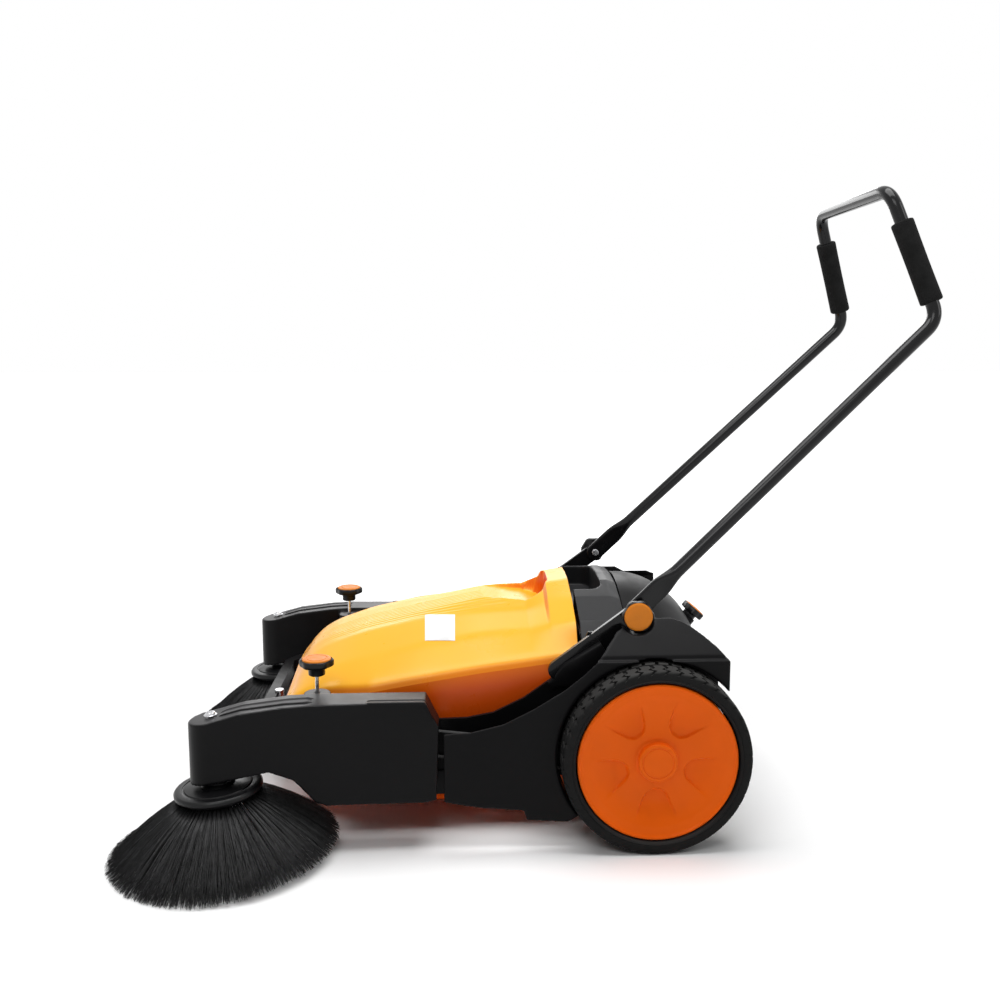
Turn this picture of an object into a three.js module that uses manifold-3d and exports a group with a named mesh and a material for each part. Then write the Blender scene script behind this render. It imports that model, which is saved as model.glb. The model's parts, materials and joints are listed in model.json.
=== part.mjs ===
// Walk-behind push sweeper: roller brush between two ground-driven wheels, two side brushes
// on swinging arms, a lift-out hopper and a folding push handle.
// Millimetres, +X forward, +Y to the machine's left, +Z up. Inside the file the wheel axle is
// at x = 0 and the floor at z = 0; the exported group is shifted so that its box is centred.

import * as THREE from "three";
import { mergeVertices } from "three/addons/utils/BufferGeometryUtils.js";
import Module from "manifold-3d";

const wasm = await Module();
wasm.setup();

// ---------------------------------------------------------------- driving dimensions

// fits
const gap = 0.3;              // between pieces that touch
const runningGap = 0.4;       // round a turning shaft

// wheels
const wheelRadius = 145;
const wheelWidth = 59;
const wheelOut = 48;          // tyre's inner face, outwards from the plate's inner face
const rimRadius = 122;
const hubCapRadius = 30;
const axleRadius = 8;

// body
const plateInner = 236;       // inner face of each side plate, from the middle
const plateThickness = 6;
const guardDepth = 67;        // side guard, outwards from the plate
const guardWall = 3.5;
const hopperRear = 108;
const hopperLength = 484;
const hopperClear = 11;       // between the hopper's roof edge and the side plates
const hopperFrontClear = 28;  // the same at the front, inside the height rods
const hopperFootClear = 33;   // the same below the rails that it stands on
const hopperWall = 3;
const hopperFloor = 32;
const fenderRise = 56;        // of the left fender above the tyre, over the gears
const lowFenderRise = 10;     // of the right fender

// gears: the left wheel's ring drives an idler, which drives the roller
const gearModule = 4;
const ringTeeth = 50;
const idlerTeeth = 12;
const rollerTeeth = 13;
const gearWidth = 20;
const toothThinning = 1.6;

// roller brush
const rollerCoreRadius = 30;
const rollerShaftRadius = 7;
const rollerForward = 20;     // roller centre ahead of the axle
const rollerDrop = 37;        // and below it
const rollerFloorGap = 1;

// side brushes and their arms
const armLength = 303;        // hinge to spindle, level
const hingeBehindNose = 222;
const hingeHeight = 150;
const spindleOut = 57;        // brush spindle outwards from the plate's inner face
const spindleTilt = 4.1;      // degrees, top leaning forward
const armHalfWidth = 33;
const armWall = 3;
const brushRadius = 175;
const brushPlateRadius = 66;
const brushPlateHeight = 104;
const pulleyRadius = 17.5;
const beltRadius = 2.5;
const heightRodRadius = 3;
const heightKnobRadius = 27;
const heightKnobTop = 286;

// front
const bumperAhead = 50;       // bumper's front ahead of the hopper's nose
const bumperHeight = 25;
const bumperBottom = 126;
const castorRadius = 37.5;
const castorWidth = 24;
const castorTrail = 22;

// handle
const pivotForward = 21.6;
const pivotHeight = 353;
const tubeRadius = 11;
const flatWidth = 33;
const flatThickness = 8;
const lowerTubeLength = 661;  // pivot to the lower bend
const lowerTubeAngle = 43.6;  // degrees above level
const upperTubeLength = 214;
const lowerBendReach = 26;    // how far from its corner the lower bend starts
const upperTubeLean = 19;     // degrees forward of upright
const bendIn = 36;            // the tube's lower bend, inwards from the side plate
const topIn = 78;             // its top corner, the same way
const gripStart = 28;         // from the lower bend's corner
const gripLength = 136;
const gripRadius = 18;
const clampKnobRadius = 25;
const clampBoltRadius = 4;

// rear knob
const rearKnobRadius = 22;
const rearKnobTilt = 40.5;    // degrees back from upright
const rearBossLength = 32;

// ---------------------------------------------------------------- worked-out places

const axleHeight = wheelRadius;
const plateOuter = plateInner + plateThickness;
const guardOuter = plateOuter + 1 + guardDepth;
const spindleSide = plateInner + spindleOut;
const hopperSide = plateInner - hopperClear;
const hopperFoot = plateInner - hopperFootClear;
const bendHalfWidth = plateInner - bendIn;
const topHalfWidth = plateInner - topIn;
const wheelInnerFace = plateInner + wheelOut;
const wheelOuterFace = wheelInnerFace + wheelWidth;
const rollerHeight = axleHeight - rollerDrop;
const rollerBrushRadius = rollerHeight - rollerFloorGap;
const hopperNose = hopperRear + hopperLength;
const hingeForward = hopperNose - hingeBehindNose;
const spindleForward = hingeForward + armLength;
const spindleTop = 215;
const gearInner = plateOuter + 10;
const ringPitch = (gearModule * ringTeeth) / 2;
const idlerPitch = (gearModule * idlerTeeth) / 2;
const rollerPitch = (gearModule * rollerTeeth) / 2;
const beltSide = plateOuter + 4.5;
const guardFront = hingeForward - 47;
const bumperFront = hopperNose + bumperAhead;
const castorForward = bumperFront - 20;

// the idler sits where its pitch circle touches both the ring's and the roller gear's
const idler = (() => {
  const reachFromAxle = ringPitch - idlerPitch;
  const reachFromRoller = idlerPitch + rollerPitch;
  const dx = rollerForward;
  const dz = rollerHeight - axleHeight;
  const apart = Math.hypot(dx, dz);
  const along = (reachFromAxle ** 2 - reachFromRoller ** 2 + apart ** 2) / (2 * apart);
  const across = Math.sqrt(reachFromAxle ** 2 - along ** 2);
  return {
    x: (along * dx - across * dz) / apart,
    z: axleHeight + (along * dz + across * dx) / apart,
  };
})();

// ---------------------------------------------------------------- materials

function material(color, roughness, metalness = 0) {
  return new THREE.MeshStandardMaterial({ color, roughness, metalness });
}

const materials = {
  hopper: material(0xf7a21b, 0.3),
  disc: material(0xe6691e, 0.4),
  cap: material(0xd07420, 0.45),
  moulding: material(0x1b1b1c, 0.45),
  collar: material(0x3a3b3d, 0.5),
  tube: material(0x0c0c0d, 0.25, 0.2),
  foam: material(0x151515, 0.95),
  tyre: material(0x1a1a1a, 0.9),
  steel: material(0xb9bcc0, 0.3, 0.9),
  gear: material(0xd8d4c8, 0.5),
  belt: material(0x2a2a2a, 0.8),
  bristle: material(0x101010, 0.85),
  rubber: material(0x202020, 0.9),
  filter: material(0xcfd2cc, 0.95),
};

// ---------------------------------------------------------------- geometry helpers

const degrees = Math.PI / 180;

function solid(geometry) {
  const bare = geometry.index ? geometry.toNonIndexed() : geometry.clone();
  bare.deleteAttribute("normal");
  bare.deleteAttribute("uv");
  const merged = mergeVertices(bare, 1e-3);
  return new wasm.Manifold(
    new wasm.Mesh({
      numProp: 3,
      vertProperties: merged.getAttribute("position").array,
      triVerts: new Uint32Array(merged.index.array),
    }),
  );
}

function geometryOf(made) {
  const mesh = made.getMesh();
  const geometry = new THREE.BufferGeometry();
  const positions = new Float32Array(mesh.vertProperties);
  geometry.setAttribute("position", new THREE.BufferAttribute(positions, 3));
  geometry.setIndex(new THREE.BufferAttribute(new Uint32Array(mesh.triVerts), 1));
  return geometry.toNonIndexed();
}

function joined(...geometries) {
  return geometryOf(geometries.map(solid).reduce((all, next) => all.add(next)));
}

function cut(base, ...tools) {
  return geometryOf(tools.map(solid).reduce((left, tool) => left.subtract(tool), solid(base)));
}

function common(a, b) {
  return geometryOf(solid(a).intersect(solid(b)));
}

function shapeOf(points) {
  return new THREE.Shape(points.map(([a, b]) => new THREE.Vector2(a, b)));
}

// A shape drawn in x and z, standing between two values of y.
function slabY(shape, low, high, curveSegments = 10) {
  const settings = { depth: high - low, bevelEnabled: false, curveSegments };
  const geometry = new THREE.ExtrudeGeometry(shape, settings);
  return geometry.rotateX(Math.PI / 2).translate(0, high, 0);
}

// A shape drawn in x and y, lying between two values of z.
function slabZ(shape, low, high, curveSegments = 10) {
  const settings = { depth: high - low, bevelEnabled: false, curveSegments };
  return new THREE.ExtrudeGeometry(shape, settings).translate(0, 0, low);
}

function box(x, y, z) {
  const size = [x, y, z].map(([low, high]) => high - low);
  const middle = [x, y, z].map(([low, high]) => (high + low) / 2);
  return new THREE.BoxGeometry(...size).translate(...middle);
}

// A rod of one radius from one point to another.
function rod(from, to, radius, segments = 16) {
  const start = new THREE.Vector3(...from);
  const along = new THREE.Vector3(...to).sub(start);
  const geometry = new THREE.CylinderGeometry(radius, radius, along.length(), segments);
  const turn = new THREE.Quaternion().setFromUnitVectors(
    new THREE.Vector3(0, 1, 0),
    along.clone().normalize(),
  );
  const middle = start.addScaledVector(along, 0.5);
  return geometry.applyQuaternion(turn).translate(middle.x, middle.y, middle.z);
}

// A turned piece: pairs of radius and height round +Y.
function turned(profile, segments = 32) {
  return new THREE.LatheGeometry(
    profile.map(([radius, height]) => new THREE.Vector2(radius, height)),
    segments,
  );
}

function inset(points, distance) {
  return points.map((point, i) => {
    const before = points[(i + points.length - 1) % points.length];
    const after = points[(i + 1) % points.length];
    const [ax, ay] = normalTo(before, point);
    const [bx, by] = normalTo(point, after);
    const spread = 1 + ax * bx + ay * by;
    return [
      point[0] + (distance * (ax + bx)) / spread,
      point[1] + (distance * (ay + by)) / spread,
    ];
  });
}

function normalTo(a, b) {
  const length = Math.hypot(b[0] - a[0], b[1] - a[1]);
  return [-(b[1] - a[1]) / length, (b[0] - a[0]) / length];
}

// A closed skin over matching rings of points, with both ends filled.
function loft(rings) {
  const count = rings[0].length;
  const positions = [];
  const push = (...corners) => corners.forEach((c) => positions.push(c.x, c.y, c.z));
  rings.slice(1).forEach((ring, i) => {
    for (let j = 0; j < count; j++) {
      const k = (j + 1) % count;
      push(rings[i][j], rings[i][k], ring[k]);
      push(rings[i][j], ring[k], ring[j]);
    }
  });
  const last = rings[rings.length - 1];
  endFaces(rings[0]).forEach(([a, b, c]) => push(rings[0][a], rings[0][c], rings[0][b]));
  endFaces(last).forEach(([a, b, c]) => push(last[a], last[b], last[c]));
  const geometry = new THREE.BufferGeometry();
  geometry.setAttribute("position", new THREE.Float32BufferAttribute(positions, 3));
  return solid(geometry).volume() < 0 ? flipped(geometry) : geometry;
}

function flipped(geometry) {
  const p = geometry.getAttribute("position");
  const turnedOver = new Float32Array(p.array.length);
  for (let i = 0; i < p.count; i += 3) {
    [0, 2, 1].forEach((from, to) => {
      const at = (i + from) * 3;
      turnedOver.set(p.array.slice(at, at + 3), (i + to) * 3);
    });
  }
  return new THREE.BufferGeometry().setAttribute(
    "position",
    new THREE.BufferAttribute(turnedOver, 3),
  );
}

// Triangles across a flat ring, facing along the ring's own normal.
function endFaces(ring) {
  const normal = new THREE.Vector3();
  ring.forEach((a, i) => normal.add(a.clone().cross(ring[(i + 1) % ring.length])));
  const back = new THREE.Quaternion().setFromUnitVectors(
    normal.normalize(),
    new THREE.Vector3(0, 0, 1),
  );
  const flat = ring.map((point) => point.clone().applyQuaternion(back));
  return THREE.ShapeUtils.triangulateShape(
    flat.map((point) => new THREE.Vector2(point.x, point.y)),
    [],
  );
}

// Value at x on a line through pairs of x and value.
function onLine(pairs, x) {
  if (x <= pairs[0][0]) return pairs[0][1];
  const next = pairs.findIndex(([at]) => at >= x);
  if (next < 0) return pairs[pairs.length - 1][1];
  const [x0, v0] = pairs[next - 1];
  const [x1, v1] = pairs[next];
  return v0 + ((v1 - v0) * (x - x0)) / (x1 - x0);
}

// Involute gear outline with thinned teeth, one tooth at the given turn. An internal gear's
// teeth point inwards and grow thicker outwards.
function gearOutline(teeth, turn, internal = false) {
  const side = internal ? -1 : 1;
  const pitch = (gearModule * teeth) / 2;
  const base = pitch * Math.cos(20 * degrees);
  const tip = pitch + side * 0.95 * gearModule;
  const root = pitch - side * 1.2 * gearModule;
  const involute = (r) => {
    const pressure = Math.acos(Math.min(1, base / r));
    return Math.tan(pressure) - pressure;
  };
  const halfAt = (r) =>
    (Math.PI / 2 - toothThinning / gearModule) / teeth + side * (involute(pitch) - involute(r));
  const radii = internal ? [root, tip] : [root, pitch, tip];
  const points = [];
  for (let i = 0; i < teeth; i++) {
    const middle = turn + (i * 2 * Math.PI) / teeth;
    radii.forEach((r) => points.push(polar(r, middle - halfAt(r))));
    [...radii].reverse().forEach((r) => points.push(polar(r, middle + halfAt(r))));
  }
  return points;
}

function polar(r, angle) {
  return [r * Math.cos(angle), r * Math.sin(angle)];
}

function circle(x, z, radius) {
  return new THREE.Path().absarc(x, z, radius, 0, 2 * Math.PI, true);
}

// ---------------------------------------------------------------- shared profiles (x, z)

// The outlines below are drawn for one size. The body rises with the axle, the front moves with
// the hopper's nose, the rear with the roller's radius, the fenders grow with the wheels and
// the covers widen with the frame.
const drawn = { axle: 145, nose: 592, roller: 107, guardFront: 323, hopperSide: 225 };
const rise = axleHeight - drawn.axle;
const front = hopperNose - drawn.nose;
const back = rollerBrushRadius - drawn.roller;
const grown = wheelRadius / drawn.axle;
const rearEnd = -118 - back;           // rear end of the side plates
const widen = hopperSide / drawn.hopperSide;

// Beside the hopper, outlines stretch between the wheel well and the arm.
function beside(x) {
  const wellFront = 150;
  const stretch = (guardFront - wellFront) / (drawn.guardFront - wellFront);
  return x > wellFront ? wellFront + (x - wellFront) * stretch : x;
}

// The guard's outer top edge, from the arm back to the fender, then round the fender.
function guardOutline(fenderTop) {
  const lift = (z) => axleHeight + Math.min(z * grown, fenderTop);
  return [
    [guardFront, 76 + rise], [guardFront, 185 + rise], [beside(282), 187 + rise],
    [beside(232), 199 + rise], [beside(186), 222 + rise], [140 * grown, lift(105)],
    [112 * grown, lift(127)], [84 * grown, lift(153)], [55 * grown, lift(185)],
    [20 * grown, lift(201)], [-14 * grown, lift(203)], [-32 * grown, lift(202)],
    [-48 * grown, lift(197)], [-62 - back, lift(190)], [-76 - back, lift(181)],
    [-97 - back, lift(165)], [-114 - back, lift(147)], [-114 - back, 235 + rise],
    [100, 60 + rise], [133, 40 + rise], [beside(197), 45 + rise],
    [beside(200), 60 + rise], [beside(269), 66 + rise],
  ].reverse();
}

// Hopper roof heights over x: the crown, the two creases and the roof edge.
const roof = {
  crown: [[108, 366], [147, 360], [152, 350], [183, 343], [262, 333], [368, 311], [459, 290],
    [525, 268], [560, 245], [580, 215], [592, 180]],
  shoulder: [[108, 347], [147, 341], [152, 330], [183, 320], [262, 314], [368, 304], [459, 284],
    [525, 261], [560, 238], [580, 209], [592, 178]],
  crease: [[108, 322], [147, 314], [183, 304], [262, 299], [368, 280], [459, 258], [525, 241], [560, 222],
    [580, 199], [592, 174]],
  edge: [[108, 286], [183, 276], [262, 266], [368, 249], [459, 233], [525, 226], [560, 212],
    [580, 192], [592, 170]],
};

// The creases' distances from the middle over x: they spread towards the square-shouldered rear.
const roofSide = {
  shoulder: [[108, 118], [147, 102], [183, 84]],
  crease: [[108, 184], [147, 172], [183, 160]],
};

// A place along the hopper as it is on the drawn length.
function drawnAlong(x) {
  return x - Math.max(0, x - hopperRear) * (1 - 484 / hopperLength);
}

function bodyHeight(name, x) {
  return onLine(roof[name], drawnAlong(x)) + rise;
}

// Half widths over x: the front narrows to pass inside the height rods.
function hopperHalfWidth(x) {
  return onLine([
    [440 + front, hopperSide], [490 + front, plateInner - hopperFrontClear],
    [592 + front, plateInner - hopperFrontClear - 5],
  ], x);
}

// ---------------------------------------------------------------- chassis

function chassisFrame() {
  const top = [
    [608 + front, 158], [470 + front, 176], [beside(330), 184], [beside(287), 185],
    [beside(245), 193], [beside(197), 216], [beside(155), 246], [133, 271], [110, 284],
    [96, 322], [-20, 322], [-60, 300], [rearEnd + 6, 262],
  ];
  const bottom = [
    [rearEnd, 62], [-60, 62], [-20, 95], [60, 95], [130, 88], [480 + front, 88],
    [520 + front, 132], [608 + front, 132],
  ];
  const outline = [...top, ...bottom].map(([x, z]) => [x, z + rise]);
  const plates = [1, -1].map((side) => {
    const [low, high] = [side * plateInner, side * plateOuter].sort((a, b) => a - b);
    return slabY(shapeOf(outline), low, high);
  });
  const seat = box([30, 92], [-plateInner - 1, plateInner + 1], [268 + rise, 274 + rise]);
  const seatOpening = box([42, 80], [-filterHalf - 4, filterHalf + 4], [260 + rise, 280 + rise]);
  const rearBar = box([rearEnd + 8, rearEnd + 20], [-plateInner - 1, plateInner + 1],
    [62 + rise, 80 + rise]);
  const rails = [1, -1].flatMap((side) => {
    const [low, high] = [side * (hopperFoot + 3), side * (plateInner + 1)].sort((a, b) => a - b);
    return [box([150, 478 + front], [low, high], [88 + rise, 91.5 + rise])];
  });
  const fittings = [1, -1].flatMap((side) => sideFittings(side));
  const base = joined(...plates, cut(seat, seatOpening), rearBar, ...rails, bumper(), ...fittings);
  return cut(base, ...plateHoles());
}

// Studs, stops and nuts that stand on one side plate.
function sideFittings(side) {
  const rodBlock = heightRodPlace();
  const nut = box(
    [rodBlock.x - 15, rodBlock.x + 15],
    [plateInner - 7.5, plateOuter + 7.5],
    [164 + rise, 184 + rise],
  );
  const pieces = [nut];
  if (side > 0) {
    const stud = [idler.x, plateInner + 1, idler.z];
    pieces.push(rod(stud, [idler.x, gearInner + gearWidth + 3, idler.z], 5));
  }
  return pieces.map((piece) => (side > 0 ? piece : mirrored(piece)));
}

function mirrored(geometry) {
  return flipped(geometryOf(solid(geometry)).scale(1, -1, 1));
}

function plateHoles() {
  const rodBlock = heightRodPlace();
  return [1, -1].flatMap((side) => {
    const through = [side * (plateInner - 10), side * (plateOuter + 10)];
    const across = (x, z, radius) => rod([x, through[0], z], [x, through[1], z], radius);
    const slot = box([rodBlock.x - 5.5, rodBlock.x + 5.5],
      [side * rodBlock.y - 4.5, side * rodBlock.y + 4.5], [150 + rise, 200 + rise]);
    return [
      across(rollerForward, rollerHeight, rollerShaftRadius + runningGap),
      across(hingeForward, hingeHeight + rise, 6 + runningGap),
      slot,
    ];
  });
}

// The bar across the front, bent back to the side plates, with the castor's plate.
function bumper() {
  const back = bumperFront - 18;
  const corner = plateInner - 50;
  const half = [
    [bumperFront, corner], [bumperFront - 12, corner + 24], [608 + front, plateInner + 3],
    [594 + front, plateInner + 3], [594 + front, plateInner - 4], [back - 12, corner + 10],
    [back, corner - 4],
  ];
  const outline = [...half, ...half.map(([x, y]) => [x, -y]).reverse()];
  const bar = slabZ(shapeOf(outline), bumperBottom + rise, bumperBottom + bumperHeight + rise);
  const plate = box([castorForward - 30, castorForward + 18], [-36, 36],
    [bumperBottom - 4 + rise, bumperBottom + 4 + rise]);
  return cut(joined(bar, plate), rod([castorForward, 0, 100], [castorForward, 0, 200], 8.4));
}

// ---------------------------------------------------------------- side guards and fenders

function sideGuard(fenderTop) {
  const outline = guardOutline(fenderTop);
  const skin = slabY(shapeOf(outline), plateOuter + gap, guardOuter);
  const hollow = slabY(shapeOf(inset(outline, guardWall)), plateOuter - 5, guardOuter - guardWall);
  const inside = cut(hollow, fenderSlope(guardWall), wheelWell(guardWall), knobRoom(guardWall));
  const barRoom = bracketBar(plateOuter - 2, plateOuter + 9, flatWidth / 2 + 1);
  const beltRoom = slabY(flatBar({ x: rollerForward, z: rollerHeight },
    { x: hingeForward, z: hingeHeight + rise }, pulleyRadius + 8), plateOuter - 2, beltSide + 5);
  return cut(skin, fenderSlope(0), wheelWell(0), knobRoom(0), inside, barRoom, beltRoom);
}

// What is cut from the guard's top outer edge, so that the fender slopes out over the tyre.
function fenderSlope(wall) {
  const [out, up] = [guardOuter - 8 - 0.72 * wall, axleHeight + wheelRadius + 9 - 0.69 * wall];
  const reach = 51;
  return acrossX([
    [out, up - 5], [out + 90, up - 5], [out + 90, up + 90], [out - reach, up + 90],
    [out - reach, up + reach], [out, up],
  ], -140, 95);
}

function wheelWell(wall) {
  return rod([0, plateOuter - 9, axleHeight], [0, guardOuter + 5, axleHeight],
    wheelRadius + 5 + wall, 64);
}

function knobRoom(wall) {
  return rod([pivotForward, plateOuter + 9 - wall, pivotHeight + rise],
    [pivotForward, guardOuter + 5, pivotHeight + rise], clampKnobRadius + 3 + wall, 32);
}

// A shape drawn in y and z, standing between two values of x.
function acrossX(points, low, high) {
  const settings = { depth: high - low, bevelEnabled: false };
  const geometry = new THREE.ExtrudeGeometry(shapeOf(points), settings);
  geometry.rotateX(Math.PI / 2).rotateZ(Math.PI / 2);
  return geometry.translate(low, 0, 0);
}

// ---------------------------------------------------------------- covers between the sides

// How far a cover falls from its crown, by distance from the middle.
function coverDrop(y) {
  return onLine([[0, 0], [60, 6], [100, 21], [225, 76]], Math.abs(y));
}

const slopeFoot = 200;                 // below this height the rear cover is straight across
const coverStations = [-225, -100, -60, 0, 60, 100, 225];
const filterHalf = plateInner - 90;

function rearCover() {
  const profile = [
    [22, 360], [0, 360], [-20, 356], [-43, 348], [-66 - back, 334], [-90 - back, 315],
    [-106 - back, 294], [-113 - back, 240], [-115 - back, 160], [-115 - back, 90],
  ].reverse();
  const under = inset(profile, -3).slice(1, -1);
  const ends = [[profile[0][0] + 3, profile[0][1]], [22, 357]];
  const outline = [...profile, ends[1], ...under.reverse(), ends[0]];
  const rings = coverStations.map((station) => {
    const y = (station * (plateInner - gap)) / 225;
    return outline.map(([x, z]) => {
      const share = Math.max(0, z - slopeFoot) / (360 - slopeFoot);
      return new THREE.Vector3(x, y, z - share * coverDrop(station) + rise);
    });
  });
  const shell = loft(rings);
  const { seat, mouth } = rearKnobPlaces();
  const boss = rod(seat, mouth, 15, 20);
  const bore = rod(along(seat, mouth, -40), along(seat, mouth, 20), 4 + runningGap);
  return cut(joined(shell, boss), bore);
}

function along(from, to, distance) {
  const start = new THREE.Vector3(...from);
  const way = new THREE.Vector3(...to).sub(start).normalize();
  const point = distance < 0
    ? start.addScaledVector(way, distance)
    : new THREE.Vector3(...to).addScaledVector(way, distance);
  return point.toArray();
}

// The rear knob's axis: from inside the cover, out through the boss.
function rearKnobPlaces() {
  const tilt = rearKnobTilt * degrees;
  const way = [-Math.sin(tilt), 0, Math.cos(tilt)];
  const at = (distance) => [-97 - back + way[0] * distance, 0, 258 + rise + way[2] * distance];
  return { seat: at(0), mouth: at(rearBossLength), at };
}

// The collar behind the hopper, which holds the dust filter and the hand pocket.
function filterHousing() {
  const foot = 274.3;
  const half = [[0, 367], [60, 364], [118, 349], [184, 325], [222, 291], [225, foot]];
  const ring = (x, lower, hollow) => {
    const over = half.map(([y, z]) => [y, Math.max(z - lower, foot)]);
    const under = over.map(([y, z]) => [Math.min(y, 221.5), Math.max(z - 3, foot)]);
    const bothSides = (points) => [
      ...points.slice(1).map(([y, z]) => [-y, z]).reverse(),
      ...points,
    ];
    const outline = hollow ? [...bothSides(over), ...bothSides(under).reverse()] : bothSides(over);
    return outline.map(([y, z]) => new THREE.Vector3(x, y * widen, z + rise));
  };
  const rings = (hollow) => [ring(26, 5, hollow), ring(42, 0, hollow), ring(hopperRear - 5, 0, hollow)];
  const pocket = slabZ(pocketShape(0), 319 + rise, 400 + rise);
  const tub = common(slabZ(pocketShape(3), 316 + rise, 400 + rise), loft(rings(false)));
  const rearWall = common(acrossX([[-230, foot], [230, foot], [230, 400], [-230, 400]]
    .map(([y, z]) => [y * widen, z + rise]), 26, 29), loft(rings(false)));
  return cut(joined(loft(rings(true)), tub, rearWall), pocket);
}

// The hand pocket's plan, open towards the hopper and round at the back.
function pocketShape(grow) {
  const shape = new THREE.Shape();
  const half = 92 + grow;
  const back = 54 - grow;
  const round = 22 + grow;
  shape.moveTo(hopperRear - 5 + (grow ? 0 : 5), -half);
  shape.lineTo(hopperRear - 5 + (grow ? 0 : 5), half);
  shape.lineTo(back + round, half);
  shape.absarc(back + round, half - round, round, Math.PI / 2, Math.PI, false);
  shape.absarc(back + round, -half + round, round, Math.PI, 1.5 * Math.PI, false);
  return shape;
}

function dustFilter() {
  const pleats = 12;
  const [low, high] = [278 + rise, 308 + rise];
  const teeth = [];
  for (let i = 0; i <= pleats; i++) {
    const y = -filterHalf + (i * 2 * filterHalf) / pleats;
    teeth.push([y, high]);
    if (i < pleats) teeth.push([y + filterHalf / pleats, high - 10]);
  }
  return joined(
    acrossX([[filterHalf, low], ...teeth.reverse(), [-filterHalf, low]], 36, 88),
    box([33, 91], [-filterHalf - 2, filterHalf + 2], [274.3 + rise, 280 + rise]),
  );
}

function dustFlap() {
  const face = rearEnd + 8 - gap;
  return box([face - 3, face], [8 - plateInner, plateInner - 8], [4, 79 + rise]);
}

// ---------------------------------------------------------------- hopper

const hopperStations = [108, 147, 152, 183, 262, 368, 459, 525, 560, 580, 592]
  .map((x) => hopperRear + ((x - 108) * hopperLength) / 484);

// One cross-section of the hopper, drawn in by the wall for its inside.
function hopperRing(x, wall) {
  const half = hopperHalfWidth(x) - wall;
  const at = (name) => bodyHeight(name, x) - wall;
  const out = (name) => onLine(roofSide[name], drawnAlong(x)) * widen;
  const floorBreak = 440 + front;
  const noseFloor = 150 + rise;
  const floor = onLine([[floorBreak, hopperFloor + rise], [hopperNose - 12, noseFloor]], x) + wall;
  const step = Math.max(floor + 1, 92 + rise + wall);
  const edge = at("edge");
  const foot = Math.min(half, hopperFoot - wall);
  const points = [
    [0, at("crown")], [46 * widen, at("crown") - 2], [out("shoulder"), at("shoulder")],
    [out("crease"), at("crease")], [half - 14, edge + 4], [half - 4, edge - 3], [half, edge - 14],
    [half, step], [foot, step - 0.5], [foot - 1, floor],
  ];
  const left = points.slice(1).map(([y, z]) => [-y, z]);
  return [...points, ...left.reverse()].map(([y, z]) => new THREE.Vector3(x, y, z));
}

function hopper() {
  const outer = loft(hopperStations.map((x) => hopperRing(x, 0)));
  const innerStations = hopperStations.slice(0, -1).map((x, i) => (i ? x : x - 20));
  const inner = loft([...innerStations, hopperNose - 5].map((x) => hopperRing(x, hopperWall)));
  const mouth = rod([rollerForward, -plateInner, rollerHeight], [rollerForward, plateInner, rollerHeight],
    rollerBrushRadius + 10, 48);
  const below = box([hopperRear - 30, 138 + back], [-plateInner, plateInner], [0, 262 + rise]);
  const scoop = scoopSolid(0);
  const scoopSkin = common(scoopSolid(hopperWall), loft(hopperStations.map((x) => hopperRing(x, 0))));
  return cut(joined(cut(outer, inner), scoopSkin), mouth, below, scoop);
}

// The hand scoop ahead of the rear band: a round-backed hollow whose floor falls rearwards.
function scoopSolid(grow) {
  const shape = new THREE.Shape();
  const half = 66 + grow;
  const back = 142 - grow;
  shape.moveTo(270, -half + 26);
  shape.lineTo(270, half - 26);
  shape.lineTo(back + 40, half);
  shape.absarc(back + 40, half - 40, 40, Math.PI / 2, Math.PI, false);
  shape.absarc(back + 40, -half + 40, 40, Math.PI, 1.5 * Math.PI, false);
  const slab = slabZ(shape, 0, 80);
  slab.translate(-back, 0, 0).rotateY(-10 * degrees);
  return slab.translate(back, 0, 312 - grow + rise);
}

// ---------------------------------------------------------------- wheels

const wheelSegments = 36;

function tyre() {
  const r = wheelRadius;
  const w = wheelWidth;
  return turned([
    [rimRadius + gap, 0], [r - 10, 0], [r, 11], [r, w - 11], [r - 10, w],
    [rimRadius + gap, w], [rimRadius + gap, 0],
  ], wheelSegments);
}

function wheelDisc() {
  const r = rimRadius;
  const w = wheelWidth;
  const bore = axleRadius + runningGap;
  return turned([
    [bore, 0], [26, 0], [26, w - 22], [r - 14, w - 24], [r - 8, 0], [r, 0], [r, w - 4],
    [r - 5, w - 4], [r - 20, w - 14], [hubCapRadius + 8, w - 14], [hubCapRadius, w - 10],
    [bore, w - 10], [bore, 0],
  ], wheelSegments);
}

function hubCap() {
  return turned([[0, 0], [hubCapRadius, 0], [hubCapRadius, 5], [hubCapRadius - 2, 7], [0, 7]], 24);
}

function stubAxle() {
  const flange = rod([0, plateOuter + gap, axleHeight], [0, plateOuter + 5, axleHeight], 17);
  const shaft = rod([0, plateOuter + gap, axleHeight], [0, wheelOuterFace - 11, axleHeight],
    axleRadius);
  return joined(flange, shaft);
}

// ---------------------------------------------------------------- gears and roller

const idlerBearing = Math.atan2(idler.z - axleHeight, idler.x);
const rollerBearing = Math.atan2(rollerHeight - idler.z, rollerForward - idler.x);

function spurGear(teeth, x, z, turn, bore) {
  const shape = shapeOf(gearOutline(teeth, turn));
  shape.holes.push(circle(0, 0, bore));
  return slabY(shape, gearInner, gearInner + gearWidth).translate(x, 0, z);
}

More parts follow.
